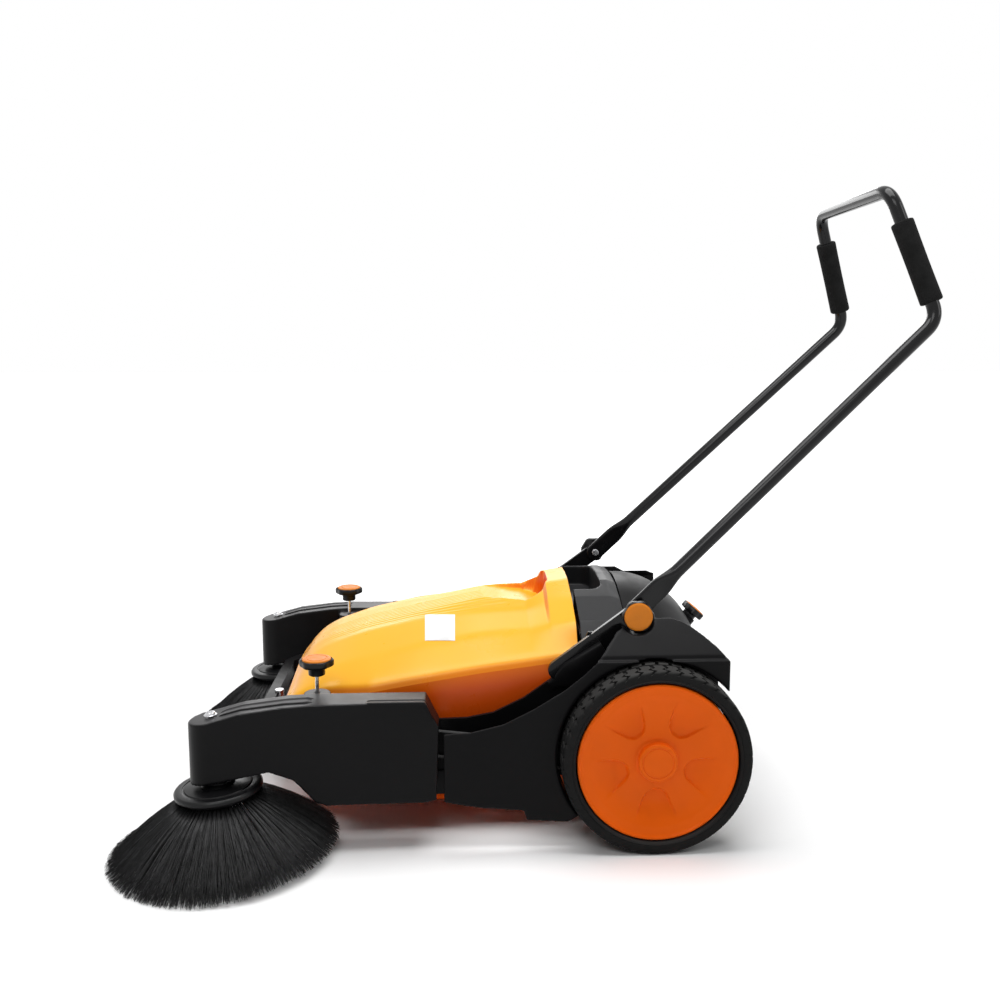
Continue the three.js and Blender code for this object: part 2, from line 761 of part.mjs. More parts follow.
function ringGear() {
  const outside = ringPitch + 12;
  const shape = new THREE.Shape();
  shape.absarc(0, 0, outside, 0, 2 * Math.PI, false);
  const turn = idlerBearing + Math.PI / ringTeeth;
  shape.holes.push(new THREE.Path(shapeOf(gearOutline(ringTeeth, turn, true)).getPoints().reverse()));
  const webInner = wheelInnerFace - gap - 4;
  const teeth = slabY(shape, gearInner - 2, webInner + 1, 32);
  const web = rod([0, webInner, 0], [0, wheelInnerFace - gap, 0], outside, 64);
  const bore = rod([0, webInner - 5, 0], [0, wheelInnerFace + 5, 0], 30);
  return cut(joined(teeth, web), bore).translate(0, 0, axleHeight);
}

function idlerGear() {
  return spurGear(idlerTeeth, idler.x, idler.z, idlerBearing, 5 + runningGap);
}

function rollerGear() {
  const offset = (idlerBearing - rollerBearing) * (idlerTeeth / rollerTeeth);
  const turn = rollerBearing + Math.PI - offset + Math.PI / rollerTeeth;
  return spurGear(rollerTeeth, rollerForward, rollerHeight, turn, rollerShaftRadius + gap);
}

function rollerCore() {
  const at = (y) => [rollerForward, y, rollerHeight];
  const half = plateInner - 16;
  const belts = [1, -1].map((side) =>
    rod(at(side * (beltSide - 3)), at(side * (beltSide + 3)), pulleyRadius, 20));
  return joined(
    rod(at(-half), at(half), rollerCoreRadius, 20),
    rod(at(-beltSide - 4), at(gearInner + gearWidth + 1), rollerShaftRadius),
    ...belts,
  );
}

// Rows of tufts along the core, as one star-shaped sleeve.
function rollerBristles() {
  const rows = 16;
  const points = [];
  for (let i = 0; i < rows; i++) {
    const middle = (i * 2 * Math.PI) / rows + Math.PI / 2;
    const half = Math.PI / rows;
    [[0.52, -0.72], [1, -0.5], [1, 0], [1, 0.5], [0.52, 0.72]].forEach(([share, side]) => {
      points.push(polar(share * rollerBrushRadius, middle + side * half));
    });
  }
  const shape = shapeOf(points);
  shape.holes.push(circle(0, 0, rollerCoreRadius + gap));
  const half = plateInner - 18;
  return slabY(shape, -half, half).translate(rollerForward, 0, rollerHeight);
}

// Bearing arms inside the side plates with the bar that the rear knob's rod screws into.
function rollerCarrier() {
  const { at } = rearKnobPlaces();
  const barPlace = at(-46);
  const bar = { x: barPlace[0], z: barPlace[2] };
  const outline = new THREE.Shape([
    [rollerForward - 14, rollerHeight - 16], [rollerForward + 16, rollerHeight - 14],
    [rollerForward + 18, rollerHeight + 16], [bar.x + 16, bar.z + 10], [bar.x - 10, bar.z + 14],
    [bar.x - 14, bar.z - 8],
  ].map(([x, z]) => new THREE.Vector2(x, z)));
  outline.holes.push(circle(rollerForward, rollerHeight, rollerShaftRadius + runningGap));
  const arms = [1, -1].map((side) => {
    const [low, high] = [side * (plateInner - 6), side * (plateInner - gap)].sort((a, b) => a - b);
    return slabY(outline, low, high);
  });
  const crossBar = rod([bar.x, -plateInner + 1, bar.z], [bar.x, plateInner - 1, bar.z], 10);
  const nutBore = rod(at(-30), at(-80), 4 + runningGap);
  return cut(joined(...arms, crossBar), nutBore);
}

// ---------------------------------------------------------------- belts

function cylinderPath(x, y, z, radius, from, to, steps, plane) {
  const points = [];
  for (let i = 0; i <= steps; i++) {
    const angle = from + ((to - from) * i) / steps;
    const [a, b] = polar(radius, angle);
    points.push(plane === "upright"
      ? new THREE.Vector3(x + a, y, z + b)
      : new THREE.Vector3(x + a, y + b, z));
  }
  return points;
}

// A closed path through chosen stations, so that straight runs take no extra steps.
class StationLoop extends THREE.Curve {
  constructor(stations) {
    super();
    this.stations = stations;
  }

  getPoint(t) {
    const count = this.stations.length;
    const place = t * count;
    const from = Math.floor(place) % count;
    return this.stations[from].clone().lerp(this.stations[(from + 1) % count], place % 1);
  }

  getPointAt(t) {
    return this.getPoint(t);
  }

  getTangentAt(t) {
    const count = this.stations.length;
    const at = Math.round(t * count) % count;
    const [before, here, after] = [count - 1, 0, 1].map((k) => this.stations[(at + k) % count]);
    const arriving = here.clone().sub(before).normalize();
    return after.clone().sub(here).normalize().add(arriving).normalize();
  }
}

function roundBelt(stations) {
  return new THREE.TubeGeometry(new StationLoop(stations), stations.length, beltRadius, 6, true);
}

// From the roller's end pulley to the jackshaft at the arm's hinge.
function rollerBelt() {
  const radius = pulleyRadius + gap + beltRadius + 0.3;
  const slope = Math.atan2(hingeHeight + rise - rollerHeight, hingeForward - rollerForward);
  const up = slope + Math.PI / 2;
  const points = [
    ...cylinderPath(rollerForward, beltSide, rollerHeight, radius, up, up + Math.PI, 8, "upright"),
    ...cylinderPath(hingeForward, beltSide, hingeHeight + rise, radius, up - Math.PI, up, 8, "upright"),
  ];
  return roundBelt(points);
}

// From the jackshaft to the brush spindle, with a quarter twist.
function brushBelt() {
  const radius = pulleyRadius + gap + beltRadius + 0.3;
  const lift = brushPulleyPlace();
  const side = jackPulleySide;
  const up = Math.PI / 2;
  return roundBelt([
    ...cylinderPath(hingeForward, side, hingeHeight + rise, radius, up, 3 * up, 8, "upright"),
    ...cylinderPath(lift.x, lift.y, lift.z, radius, -up, up, 8, "level"),
  ]);
}

const jackPulleySide = spindleSide - 4;

function jackshaft() {
  const at = (y) => [hingeForward, y, hingeHeight + rise];
  return joined(
    rod(at(plateInner - 0.5), at(jackPulleySide + 9), 6),
    rod(at(beltSide - 3), at(beltSide + 3), pulleyRadius, 20),
    rod(at(jackPulleySide - 4), at(jackPulleySide + 4), pulleyRadius, 20),
  );
}

// ---------------------------------------------------------------- side arm and side brush

function heightRodPlace() {
  return { x: hingeForward + 150, y: plateInner + 3.5 };
}

// Direction of the brush spindle, and a place a given distance down it from the arm's top.
const tilt = spindleTilt * degrees;
function downSpindle(distance) {
  return {
    x: spindleForward - distance * Math.sin(tilt),
    y: spindleSide,
    z: spindleTop + rise - distance * Math.cos(tilt),
  };
}

function brushPulleyPlace() {
  return downSpindle(78);
}

function armProfile() {
  const x = hingeForward;
  const tip = armLength + armHalfWidth;
  return [
    [-36, 80], [-20, 76], [130, 78], [146, 84], [178, 120], [214, 134], [tip, 112],
    [tip, 208], [armLength, 213], [256, 226], [191, 234], [153, 236], [-20, 236], [-40, 196],
  ].map(([dx, z]) => [x + dx, z + rise]);
}

function armPlan(grow) {
  const shape = new THREE.Shape();
  const radius = armHalfWidth + grow;
  const rear = hingeForward - 45 - grow;
  shape.moveTo(rear, spindleSide - radius);
  shape.lineTo(spindleForward, spindleSide - radius);
  shape.absarc(spindleForward, spindleSide, radius, -Math.PI / 2, Math.PI / 2 + 0.06, false);
  shape.lineTo(rear, spindleSide + radius - 18);
  return shape;
}

function armHousing() {
  const profile = armProfile();
  const hollowProfile = shapeOf(inset(profile, armWall));
  const low = spindleSide - armHalfWidth - 20;
  const high = spindleSide + armHalfWidth + 20;
  const shell = common(slabY(shapeOf(profile), low, high), slabZ(armPlan(0), 0, 400, 9));
  const hollow = common(slabY(hollowProfile, low, high), slabZ(armPlan(-armWall), 0, 400, 9));
  const opening = hollow.clone().translate(0, 0, -2 * armWall);
  const rodPlace = heightRodPlace();
  const ear = joined(
    rod([rodPlace.x, rodPlace.y, 222 + rise], [rodPlace.x, rodPlace.y, 230 + rise], 21, 20),
    box([rodPlace.x - 21, rodPlace.x + 21], [rodPlace.y, spindleSide - armHalfWidth + 1.5],
      [222 + rise, 230 + rise]),
  );
  const top = downSpindle(4);
  const foot = downSpindle(66);
  const boss = rod(Object.values(top), Object.values(foot), 14, 20);
  const sleeve = rod([hingeForward, spindleSide - armHalfWidth + 1, hingeHeight + rise],
    [hingeForward, spindleSide - armHalfWidth + 14, hingeHeight + rise], 12, 20);
  return cut(
    joined(cut(shell, hollow, opening), ear, boss, sleeve),
    rod(Object.values(downSpindle(-20)), Object.values(downSpindle(80)), clampBoltRadius + runningGap),
    rod(Object.values(downSpindle(10)), Object.values(downSpindle(80)), 8 + runningGap, 20),
    rod([hingeForward, low - 20, hingeHeight + rise],
      [hingeForward, jackPulleySide - 4, hingeHeight + rise], 6 + runningGap, 20),
    rod([rodPlace.x, rodPlace.y, 200], [rodPlace.x, rodPlace.y, 250 + rise], heightRodRadius + runningGap),
  );
}

// Brush pieces are turned round the spindle: heights count down from the arm's top.
function onSpindle(profile, segments = 24) {
  const geometry = turned(profile, segments).rotateX(Math.PI / 2).rotateY(tilt);
  return geometry.translate(spindleForward, spindleSide, spindleTop + rise);
}

const plateDrop = (spindleTop - brushPlateHeight) / Math.cos(tilt);

function brushSpindle() {
  return onSpindle([
    [0, -10], [8, -10], [8, -73.5], [pulleyRadius, -73.5], [pulleyRadius, -82.5], [12, -82.5],
    [12, -plateDrop + 8 + gap], [0, -plateDrop + 8 + gap],
  ].reverse(), 20);
}

function spindleBolt() {
  return onSpindle([
    [0, 6], [6.5, 6], [7, 5], [7, gap], [clampBoltRadius, gap], [clampBoltRadius, -10 + gap],
    [0, -10 + gap],
  ].reverse(), 24);
}

function brushPlate() {
  const d = -plateDrop;
  const r = brushPlateRadius;
  return onSpindle([
    [0, d + 8], [22, d + 8], [26, d + 4], [r - 3, d + 2], [r, d - 1], [r, d - 6], [r - 9, d - 9],
    [r - 11, d - 14], [0, d - 14],
  ].reverse());
}

function brushBristles() {
  const tips = (spindleTop + rise - 1 - brushRadius * Math.sin(tilt)) / Math.cos(tilt);
  const root = plateDrop + 14 + gap;
  return onSpindle([
    [brushPlateRadius - 24, -root], [brushPlateRadius - 8, -root], [brushPlateRadius + 14, -root - 8],
    [brushRadius - 6, -tips + 7], [brushRadius, -tips], [brushRadius - 34, -tips],
    [brushPlateRadius - 24, -root],
  ].reverse(), 32);
}

function heightKnob() {
  const { x, y } = heightRodPlace();
  const top = heightKnobTop - 2;
  const shape = new THREE.Shape();
  const lobes = 6;
  const count = lobes * 4;
  for (let i = 0; i < count; i++) {
    const angle = (i * 2 * Math.PI) / count;
    const [a, b] = polar(heightKnobRadius - 1.2 + 1.2 * Math.cos(lobes * angle), angle);
    if (i) shape.lineTo(a, b);
    else shape.moveTo(a, b);
  }
  const head = slabZ(shape, top - 12, top).translate(x, y, rise);
  const hub = rod([x, y, top - 26 + rise], [x, y, top - 11 + rise], 13, 24);
  const seat = rod([x, y, top - 3 + rise], [x, y, top + 5 + rise], heightKnobRadius - 4, 32);
  const bore = rod([x, y, top - 40 + rise], [x, y, top - 8 + rise], heightRodRadius + gap);
  return cut(joined(head, hub), seat, bore);
}

function heightKnobCap() {
  const { x, y } = heightRodPlace();
  const r = heightKnobRadius - 4 - gap;
  const top = heightKnobTop + rise;
  const profile = [[0, 0], [r, 0], [r, 3], [r - 2, 4.7], [0, 4.7]];
  return turned(profile, 32).rotateX(Math.PI / 2).translate(x, y, top - 5 + gap);
}

function heightSpindle() {
  const { x, y } = heightRodPlace();
  return rod([x, y, 168 + rise], [x, y, heightKnobTop - 11 + rise], heightRodRadius);
}

// ---------------------------------------------------------------- handle

const handleSide = plateInner + 2;
const lowerWay = lowerTubeAngle * degrees;
const lowerBend = new THREE.Vector3(
  pivotForward - lowerTubeLength * Math.cos(lowerWay),
  bendHalfWidth,
  pivotHeight + rise + lowerTubeLength * Math.sin(lowerWay),
);
const topCorner = new THREE.Vector3(
  lowerBend.x + upperTubeLength * Math.sin(upperTubeLean * degrees),
  topHalfWidth,
  lowerBend.z + upperTubeLength * Math.cos(upperTubeLean * degrees),
);
const handlePivot = new THREE.Vector3(pivotForward, handleSide, pivotHeight + rise);

function towards(from, to, distance) {
  return from.clone().addScaledVector(to.clone().sub(from).normalize(), distance);
}

function bend(before, corner, after, setback, steps) {
  const curve = new THREE.QuadraticBezierCurve3(
    towards(corner, before, setback), corner, towards(corner, after, setback));
  return curve.getPoints(steps);
}

// Stations of the tube's centre line on the left, then their mirror images back.
function handleStations() {
  const opposite = topCorner.clone().setY(-topHalfWidth);
  const left = [
    ...[30, 62, 78, 94].map((distance) => towards(handlePivot, lowerBend, distance)),
    ...bend(handlePivot, lowerBend, topCorner, lowerBendReach, 5),
    ...bend(lowerBend, topCorner, opposite, 32, 6),
  ];
  const right = left.map((point) => point.clone().setY(-point.y)).reverse();
  return [...left, ...right];
}

// A tube swept through its stations, of a width and thickness that may differ at each.
function sweep(stations, sizeAt, sides = 12) {
  const side = new THREE.Vector3(0, 1, 0);
  const rings = stations.map((point, i) => {
    const before = stations[Math.max(0, i - 1)];
    const after = stations[Math.min(stations.length - 1, i + 1)];
    const way = after.clone().sub(point).normalize();
    if (i === stations.length - 1) way.set(0, 0, 0);
    way.add(i ? point.clone().sub(before).normalize() : new THREE.Vector3()).normalize();
    side.addScaledVector(way, -side.dot(way)).normalize();
    const other = way.clone().cross(side);
    const [wide, thick] = sizeAt(i);
    return Array.from({ length: sides }, (_, j) => {
      const [a, b] = polar(1, ((j + 0.5) * 2 * Math.PI) / sides);
      return point.clone().addScaledVector(side, a * thick).addScaledVector(other, b * wide);
    });
  });
  return loft(rings);
}

function handleFrame() {
  const stations = handleStations();
  const last = stations.length - 1;
  const shares = [0, 0.15, 0.6, 1];
  const tube = sweep(stations, (i) => {
    const share = shares[Math.min(i, last - i, 3)];
    const wide = (flatWidth / 2) * (1 - share) + tubeRadius * share;
    const thick = (flatThickness / 2) * (1 - share) + tubeRadius * share;
    return [wide, thick];
  });
  const ends = [1, -1].map((side) => {
    const [low, high] = [side * (handleSide - 4), side * (handleSide + 4)].sort((a, b) => a - b);
    return slabY(flatBar(handlePivot, towards(handlePivot, lowerBend, 56), flatWidth / 2), low, high);
  });
  const bolt = rod([pivotForward, -plateInner - 30, pivotHeight + rise],
    [pivotForward, plateInner + 30, pivotHeight + rise],
    clampBoltRadius + runningGap);
  return cut(joined(tube, ...ends), bolt);
}

// A bar with round ends between two places, drawn in x and z.
function flatBar(from, to, half) {
  const angle = Math.atan2(to.z - from.z, to.x - from.x);
  const shape = new THREE.Shape();
  shape.absarc(from.x, from.z, half, angle + Math.PI / 2, angle + 1.5 * Math.PI, false);
  shape.absarc(to.x, to.z, half, angle - Math.PI / 2, angle + Math.PI / 2, false);
  return shape;
}

const bracketFoot = { x: pivotForward + 122, z: pivotHeight + rise - 90 };

function bracketBar(low, high, half) {
  return slabY(flatBar(bracketFoot, handlePivot, half), low, high);
}

function handleBracket() {
  const low = plateOuter + gap;
  const bar = bracketBar(low, low + 8, flatWidth / 2 - 1);
  return cut(bar, rod([pivotForward, low - 9, pivotHeight + rise],
    [pivotForward, low + 20, pivotHeight + rise],
    clampBoltRadius + runningGap));
}

function grip() {
  const start = towards(lowerBend, topCorner, gripStart);
  const end = towards(lowerBend, topCorner, gripStart + gripLength);
  const inner = tubeRadius + gap + 0.2;
  const geometry = turned([
    [inner, 0], [gripRadius - 3, 0], [gripRadius, 3], [gripRadius, gripLength - 3],
    [gripRadius - 3, gripLength], [inner, gripLength], [inner, 0],
  ], 20);
  const turn = new THREE.Quaternion().setFromUnitVectors(
    new THREE.Vector3(0, 1, 0),
    end.sub(start).normalize(),
  );
  return geometry.applyQuaternion(turn).translate(start.x, start.y, start.z);
}

// Pieces turned round the handle pivot: heights run outwards from the bracket.
function onPivot(profile, segments = 20) {
  const out = plateOuter + gap + 8;
  return turned(profile, segments).translate(pivotForward, out, pivotHeight + rise);
}

function clampKnob() {
  const r = clampKnobRadius;
  return onPivot([
    [clampBoltRadius + gap, gap], [13, gap], [13, 8], [r - 1, 8], [r, 9], [r, 20], [r - 1, 21],
    [r - 2.5, 21], [r - 2.5, 18], [0, 18], [0, 13], [clampBoltRadius + gap, 13],
    [clampBoltRadius + gap, gap],
  ]);
}

function clampKnobCap() {
  const r = clampKnobRadius - 2.5 - gap;
  return onPivot([[0, 18 + gap], [r, 18 + gap], [r, 21], [r - 1, 22], [0, 22]]);
}

function clampBolt() {
  const head = -8 - flatThickness - 2 * gap;
  return onPivot([
    [0, head - 5], [6, head - 5], [6.5, head - 4], [6.5, head], [clampBoltRadius, head],
    [clampBoltRadius, 13 - gap], [0, 13 - gap],
  ], 20);
}

// ---------------------------------------------------------------- rear knob and castor

// Pieces turned round the rear knob's axis: heights run outwards along it.
function onRearKnob(profile, segments = 20) {
  const { seat } = rearKnobPlaces();
  const geometry = turned(profile, segments).rotateX(Math.PI / 2);
  geometry.rotateY(-rearKnobTilt * degrees);
  return geometry.translate(...seat);
}

function rollerKnob() {
  const r = rearKnobRadius;
  const foot = rearBossLength + gap;
  return onRearKnob([
    [0, -60], [4, -60], [4, foot], [12, foot], [12, foot + 6], [r, foot + 6], [r, foot + 18],
    [r - 2.5, foot + 18], [r - 2.5, foot + 15], [0, foot + 15],
  ]);
}

function rollerKnobCap() {
  const r = rearKnobRadius - 2.5 - gap;
  const foot = rearBossLength + 15 + 2 * gap;
  return onRearKnob([[0, foot], [r, foot], [r, foot + 3], [0, foot + 3.7]]);
}

function castorFork() {
  const top = bumperBottom - 4 - gap + rise;
  const x = castorForward;
  const legOutline = shapeOf([
    [x - 22, top], [x - castorTrail - 10, castorRadius - 8], [x - castorTrail + 10, castorRadius - 8],
    [x + 16, top],
  ].reverse());
  const [inside, outside] = [castorWidth / 2 + 1.5, castorWidth / 2 + 5];
  const axle = [x - castorTrail, -outside, castorRadius];
  return joined(
    box([x - 26, x + 20], [-outside, outside], [top - 6, top]),
    slabY(legOutline, inside, outside),
    slabY(legOutline, -outside, -inside),
    rod(axle, [axle[0], outside, axle[2]], 5),
    rod([x, 0, top - 3], [x, 0, top + bumperHeight + 8], 8),
  );
}

function castorWheel() {
  const r = castorRadius;
  const half = castorWidth / 2;
  return turned([
    [5 + runningGap, -half], [r - 4, -half], [r, -half + 4], [r, half - 4], [r - 4, half],
    [5 + runningGap, half], [5 + runningGap, -half],
  ], 28).translate(castorForward - castorTrail, 0, r);
}

// ---------------------------------------------------------------- assembly

const assembly = new THREE.Group();

function add(name, geometry, look, group = assembly) {
  const mesh = new THREE.Mesh(geometry, look);
  mesh.name = name;
  group.add(mesh);
  return mesh;
}

add("chassis_frame", chassisFrame(), materials.moulding);
add("rear_cover", rearCover(), materials.moulding);
add("filter_housing", filterHousing(), materials.collar);
add("dust_filter", dustFilter(), materials.filter);
add("rear_dust_flap", dustFlap(), materials.rubber);
add("hopper", hopper(), materials.hopper);
add("ring_gear", ringGear(), materials.gear);
add("idler_gear", idlerGear(), materials.gear);
add("roller_gear", rollerGear(), materials.gear);
add("roller_core", rollerCore(), materials.steel);
add("roller_bristles", rollerBristles(), materials.bristle);
add("roller_carrier", rollerCarrier(), materials.steel);
add("handle_frame", handleFrame(), materials.tube);
add("roller_knob", rollerKnob(), materials.moulding);
add("roller_knob_cap", rollerKnobCap(), materials.cap);
add("castor_fork", castorFork(), materials.steel);
add("castor_wheel", castorWheel(), materials.rubber);

// The right side is the left one mirrored, apart from its lower fender.
for (const side of ["left", "right"]) {
  const half = new THREE.Group();
  if (side === "right") half.scale.y = -1;
  assembly.add(half);
  const put = (name, geometry, look) => add(`${side}_${name}`, geometry, look, half);
  const fenderTop = wheelRadius + (side === "left" ? fenderRise : lowFenderRise);
  put("side_guard", sideGuard(fenderTop), materials.moulding);
  put("stub_axle", stubAxle(), materials.steel);
  put("tyre", tyre(), materials.tyre).position.set(0, wheelInnerFace, axleHeight);
  put("wheel_disc", wheelDisc(), materials.disc).position.set(0, wheelInnerFace, axleHeight);
  put("hub_cap", hubCap(), materials.disc).position.set(0, wheelOuterFace - 9.7, axleHeight);
  put("roller_belt", rollerBelt(), materials.belt);
  put("brush_belt", brushBelt(), materials.belt);
  put("jackshaft", jackshaft(), materials.steel);
  put("arm_housing", armHousing(), materials.moulding);
  put("brush_spindle", brushSpindle(), materials.steel);
  put("spindle_bolt", spindleBolt(), materials.steel);
  put("brush_plate", brushPlate(), materials.moulding);
  put("brush_bristles", brushBristles(), materials.bristle);
  put("height_knob", heightKnob(), materials.moulding);
  put("height_knob_cap", heightKnobCap(), materials.cap);
  put("height_spindle", heightSpindle(), materials.steel);
  put("handle_bracket", handleBracket(), materials.tube);
  put("grip", grip(), materials.foam);
  put("clamp_knob", clampKnob(), materials.moulding);
  put("clamp_knob_cap", clampKnobCap(), materials.cap);
  put("clamp_bolt", clampBolt(), materials.steel);
}

// The part's origin is on the floor, under the middle of its box.
const bounds = new THREE.Box3().setFromObject(assembly, true);
assembly.position.x = -(bounds.min.x + bounds.max.x) / 2;

export default assembly;
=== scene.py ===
import json
import math
import random

import bmesh
import bpy
from mathutils import Matrix, Vector


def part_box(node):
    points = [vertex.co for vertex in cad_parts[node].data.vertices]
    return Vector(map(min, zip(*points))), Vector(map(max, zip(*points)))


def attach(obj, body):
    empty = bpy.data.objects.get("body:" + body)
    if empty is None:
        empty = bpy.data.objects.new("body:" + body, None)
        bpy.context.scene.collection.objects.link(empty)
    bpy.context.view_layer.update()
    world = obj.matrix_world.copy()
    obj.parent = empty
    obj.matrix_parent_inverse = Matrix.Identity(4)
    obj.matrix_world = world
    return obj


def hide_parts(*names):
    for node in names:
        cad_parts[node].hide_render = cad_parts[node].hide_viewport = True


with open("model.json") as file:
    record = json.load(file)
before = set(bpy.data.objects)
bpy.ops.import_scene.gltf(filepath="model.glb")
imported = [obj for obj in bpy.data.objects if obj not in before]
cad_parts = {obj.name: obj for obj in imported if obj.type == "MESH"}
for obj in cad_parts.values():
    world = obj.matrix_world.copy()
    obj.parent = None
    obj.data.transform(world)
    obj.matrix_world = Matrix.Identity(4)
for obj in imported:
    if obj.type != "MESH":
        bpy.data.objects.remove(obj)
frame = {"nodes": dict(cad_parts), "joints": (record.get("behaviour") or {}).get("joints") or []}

# Sweeper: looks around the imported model. Metres, x forward, y to its left, z up.
# Lengths along x in the tables below count forward from the wheel axle.

scene = bpy.context.scene
nodes = frame["nodes"]
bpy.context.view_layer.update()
random.seed(7)


def middle(node):
    low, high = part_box(node)
    return (low + high) / 2


axle = middle("left_tyre")


def jointNamed(name):
    return next(j for j in frame["joints"] if j["name"] == name)


def at(x, y, z):
    return Vector((axle.x + x, y, z))


# small helpers for making meshes

def makePiece(name, points, faces, look, body, instead=(), creaseAngle=38):
    mesh = bpy.data.meshes.new(name)
    mesh.from_pydata([tuple(p) for p in points], [], faces)
    mesh.validate()
    mesh.update()
    piece = bpy.data.objects.new(name, mesh)
    scene.collection.objects.link(piece)
    return settle(piece, look, body, instead, creaseAngle)


def settle(piece, look, body, instead=(), creaseAngle=38):
    piece.data.materials.clear()
    piece.data.materials.append(look)
    shadeSmooth(piece.data, creaseAngle)
    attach(piece, body)
    if instead:
        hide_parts(*instead)
    return piece


def shadeSmooth(mesh, creaseAngle):
    mesh.shade_smooth()
    mesh.set_sharp_from_angle(angle=math.radians(creaseAngle))


def bridge(rings, capEnds=True, closed=False):
    # faces between equal rings of points, one after another
    count = len(rings[0])
    points = [p for ring in rings for p in ring]
    faces = []
    last = len(rings) if closed else len(rings) - 1
    for i in range(last):
        a, b = i * count, ((i + 1) % len(rings)) * count
        for j in range(count):
            k = (j + 1) % count
            faces.append((a + j, a + k, b + k, b + j))
    if capEnds and not closed:
        faces.append(tuple(reversed(range(count))))
        faces.append(tuple(range(len(points) - count, len(points))))
    return points, faces


def roundPath(points, reach, steps=4, closed=False):
    # every corner becomes a short curve that starts and ends within reach of it
    smooth = []
    count = len(points)
    for i, corner in enumerate(points):
        if not closed and i in (0, count - 1):
            smooth.append(Vector(corner))
            continue
        corner = Vector(corner)
        before, after = Vector(points[i - 1]), Vector(points[(i + 1) % count])
        a = corner + (before - corner) * min(0.45, reach / max(1e-9, (before - corner).length))
        b = corner + (after - corner) * min(0.45, reach / max(1e-9, (after - corner).length))
        for k in range(steps + 1):
            t = k / steps
            smooth.append(a * (1 - t) ** 2 + corner * 2 * t * (1 - t) + b * t * t)
    return smooth


def turnedRings(profile, steps, shapeAt=None):
    # profile of (radius, height, share) turned round z; shapeAt lifts a point by its share
    rings = []
    for step in range(steps):
        angle = 2 * math.pi * step / steps
        ring = []
        for entry in profile:
            radius, height = entry[0], entry[1]
            if shapeAt and len(entry) > 2 and entry[2]:
                radius, height, turn = shapeAt(radius, height, angle, entry[2])
                ring.append(Vector((radius * math.cos(angle + turn), radius * math.sin(angle + turn),
                                    height)))
            else:
                ring.append(Vector((radius * math.cos(angle), radius * math.sin(angle), height)))
        rings.append(ring)
    return rings


def facing(way, place):
    # matrix that carries z to a direction and the middle to a place
    turn = Vector(way).normalized().to_track_quat("Z", "Y").to_matrix().to_4x4()
    return Matrix.Translation(place) @ turn


def outward(place, side):
    # z becomes outwards from the machine, x stays forward
    turn = Matrix(((1, 0, 0, 0), (0, 0, side, 0), (0, 1, 0, 0), (0, 0, 0, 1)))
    return Matrix.Translation(place) @ turn


def closeRings(profile):
    # more rings beside the axis, which keep the shading of a flat face even
    full = []
    for i, entry in enumerate(profile):
        full.append(entry)
        after = profile[(i + 1) % len(profile)]
        if entry[0] > 0.003 and after[0] < 0.0002:
            full += [(entry[0] * 0.5, after[1]), (0.001, after[1])]
        elif after[0] > 0.003 and entry[0] < 0.0002:
            full += [(0.001, entry[1]), (after[0] * 0.5, entry[1])]
    return full


def turnedPiece(name, profile, steps, matrix, look, body, instead=(), shapeAt=None,
                creaseAngle=38, mirrored=False):
    rings = turnedRings(closeRings(profile), steps, shapeAt)
    points, faces = bridge(rings, closed=True)
    if not mirrored:
        faces = [tuple(reversed(face)) for face in faces]
    return makePiece(name, [matrix @ p for p in points], faces, look, body, instead, creaseAngle)


def between(table, x):
    if x <= table[0][0]:
        return table[0][1]
    for (x0, v0), (x1, v1) in zip(table, table[1:]):
        if x <= x1:
            return v0 + (v1 - v0) * (x - x0) / (x1 - x0)
    return table[-1][1]


def softStep(low, high, value):
    t = min(1, max(0, (value - low) / (high - low)))
    return t * t * (3 - 2 * t)


# materials

def newLook(name):
    look = bpy.data.materials.new(name)
    look.use_nodes = True
    tree = look.node_tree
    shader = tree.nodes["Principled BSDF"]
    place = tree.nodes.new("ShaderNodeTexCoord")
    return look, tree, shader, place


def noiseOn(tree, place, size, detail=4, rough=0.55):
    noise = tree.nodes.new("ShaderNodeTexNoise")
    noise.inputs["Scale"].default_value = 1 / size
    noise.inputs["Detail"].default_value = detail
    noise.inputs["Roughness"].default_value = rough
    tree.links.new(place.outputs["Object"], noise.inputs["Vector"])
    return noise.outputs["Fac"]


def spread(tree, value, low, high, fromLow=0.3, fromHigh=0.7):
    node = tree.nodes.new("ShaderNodeMapRange")
    tree.links.new(value, node.inputs["Value"])
    node.inputs["From Min"].default_value = fromLow
    node.inputs["From Max"].default_value = fromHigh
    node.inputs["To Min"].default_value = low
    node.inputs["To Max"].default_value = high
    return node.outputs["Result"]


def blendColors(tree, share, first, second):
    node = tree.nodes.new("ShaderNodeMix")
    node.data_type = "RGBA"
    tree.links.new(share, node.inputs["Factor"])
    for socket, color in ((node.inputs[6], first), (node.inputs[7], second)):
        if isinstance(color, tuple):
            socket.default_value = (*color, 1)
        else:
            tree.links.new(color, socket)
    return node.outputs[2]


def bumpOn(tree, shader, heights):
    # several bumps in a row: (value, depth in metres)
    previous = None
    for value, depth in heights:
        node = tree.nodes.new("ShaderNodeBump")
        node.inputs["Strength"].default_value = 1
        node.inputs["Distance"].default_value = depth
        tree.links.new(value, node.inputs["Height"])
        if previous:
            tree.links.new(previous, node.inputs["Normal"])
        previous = node.outputs["Normal"]
    tree.links.new(previous, shader.inputs["Normal"])


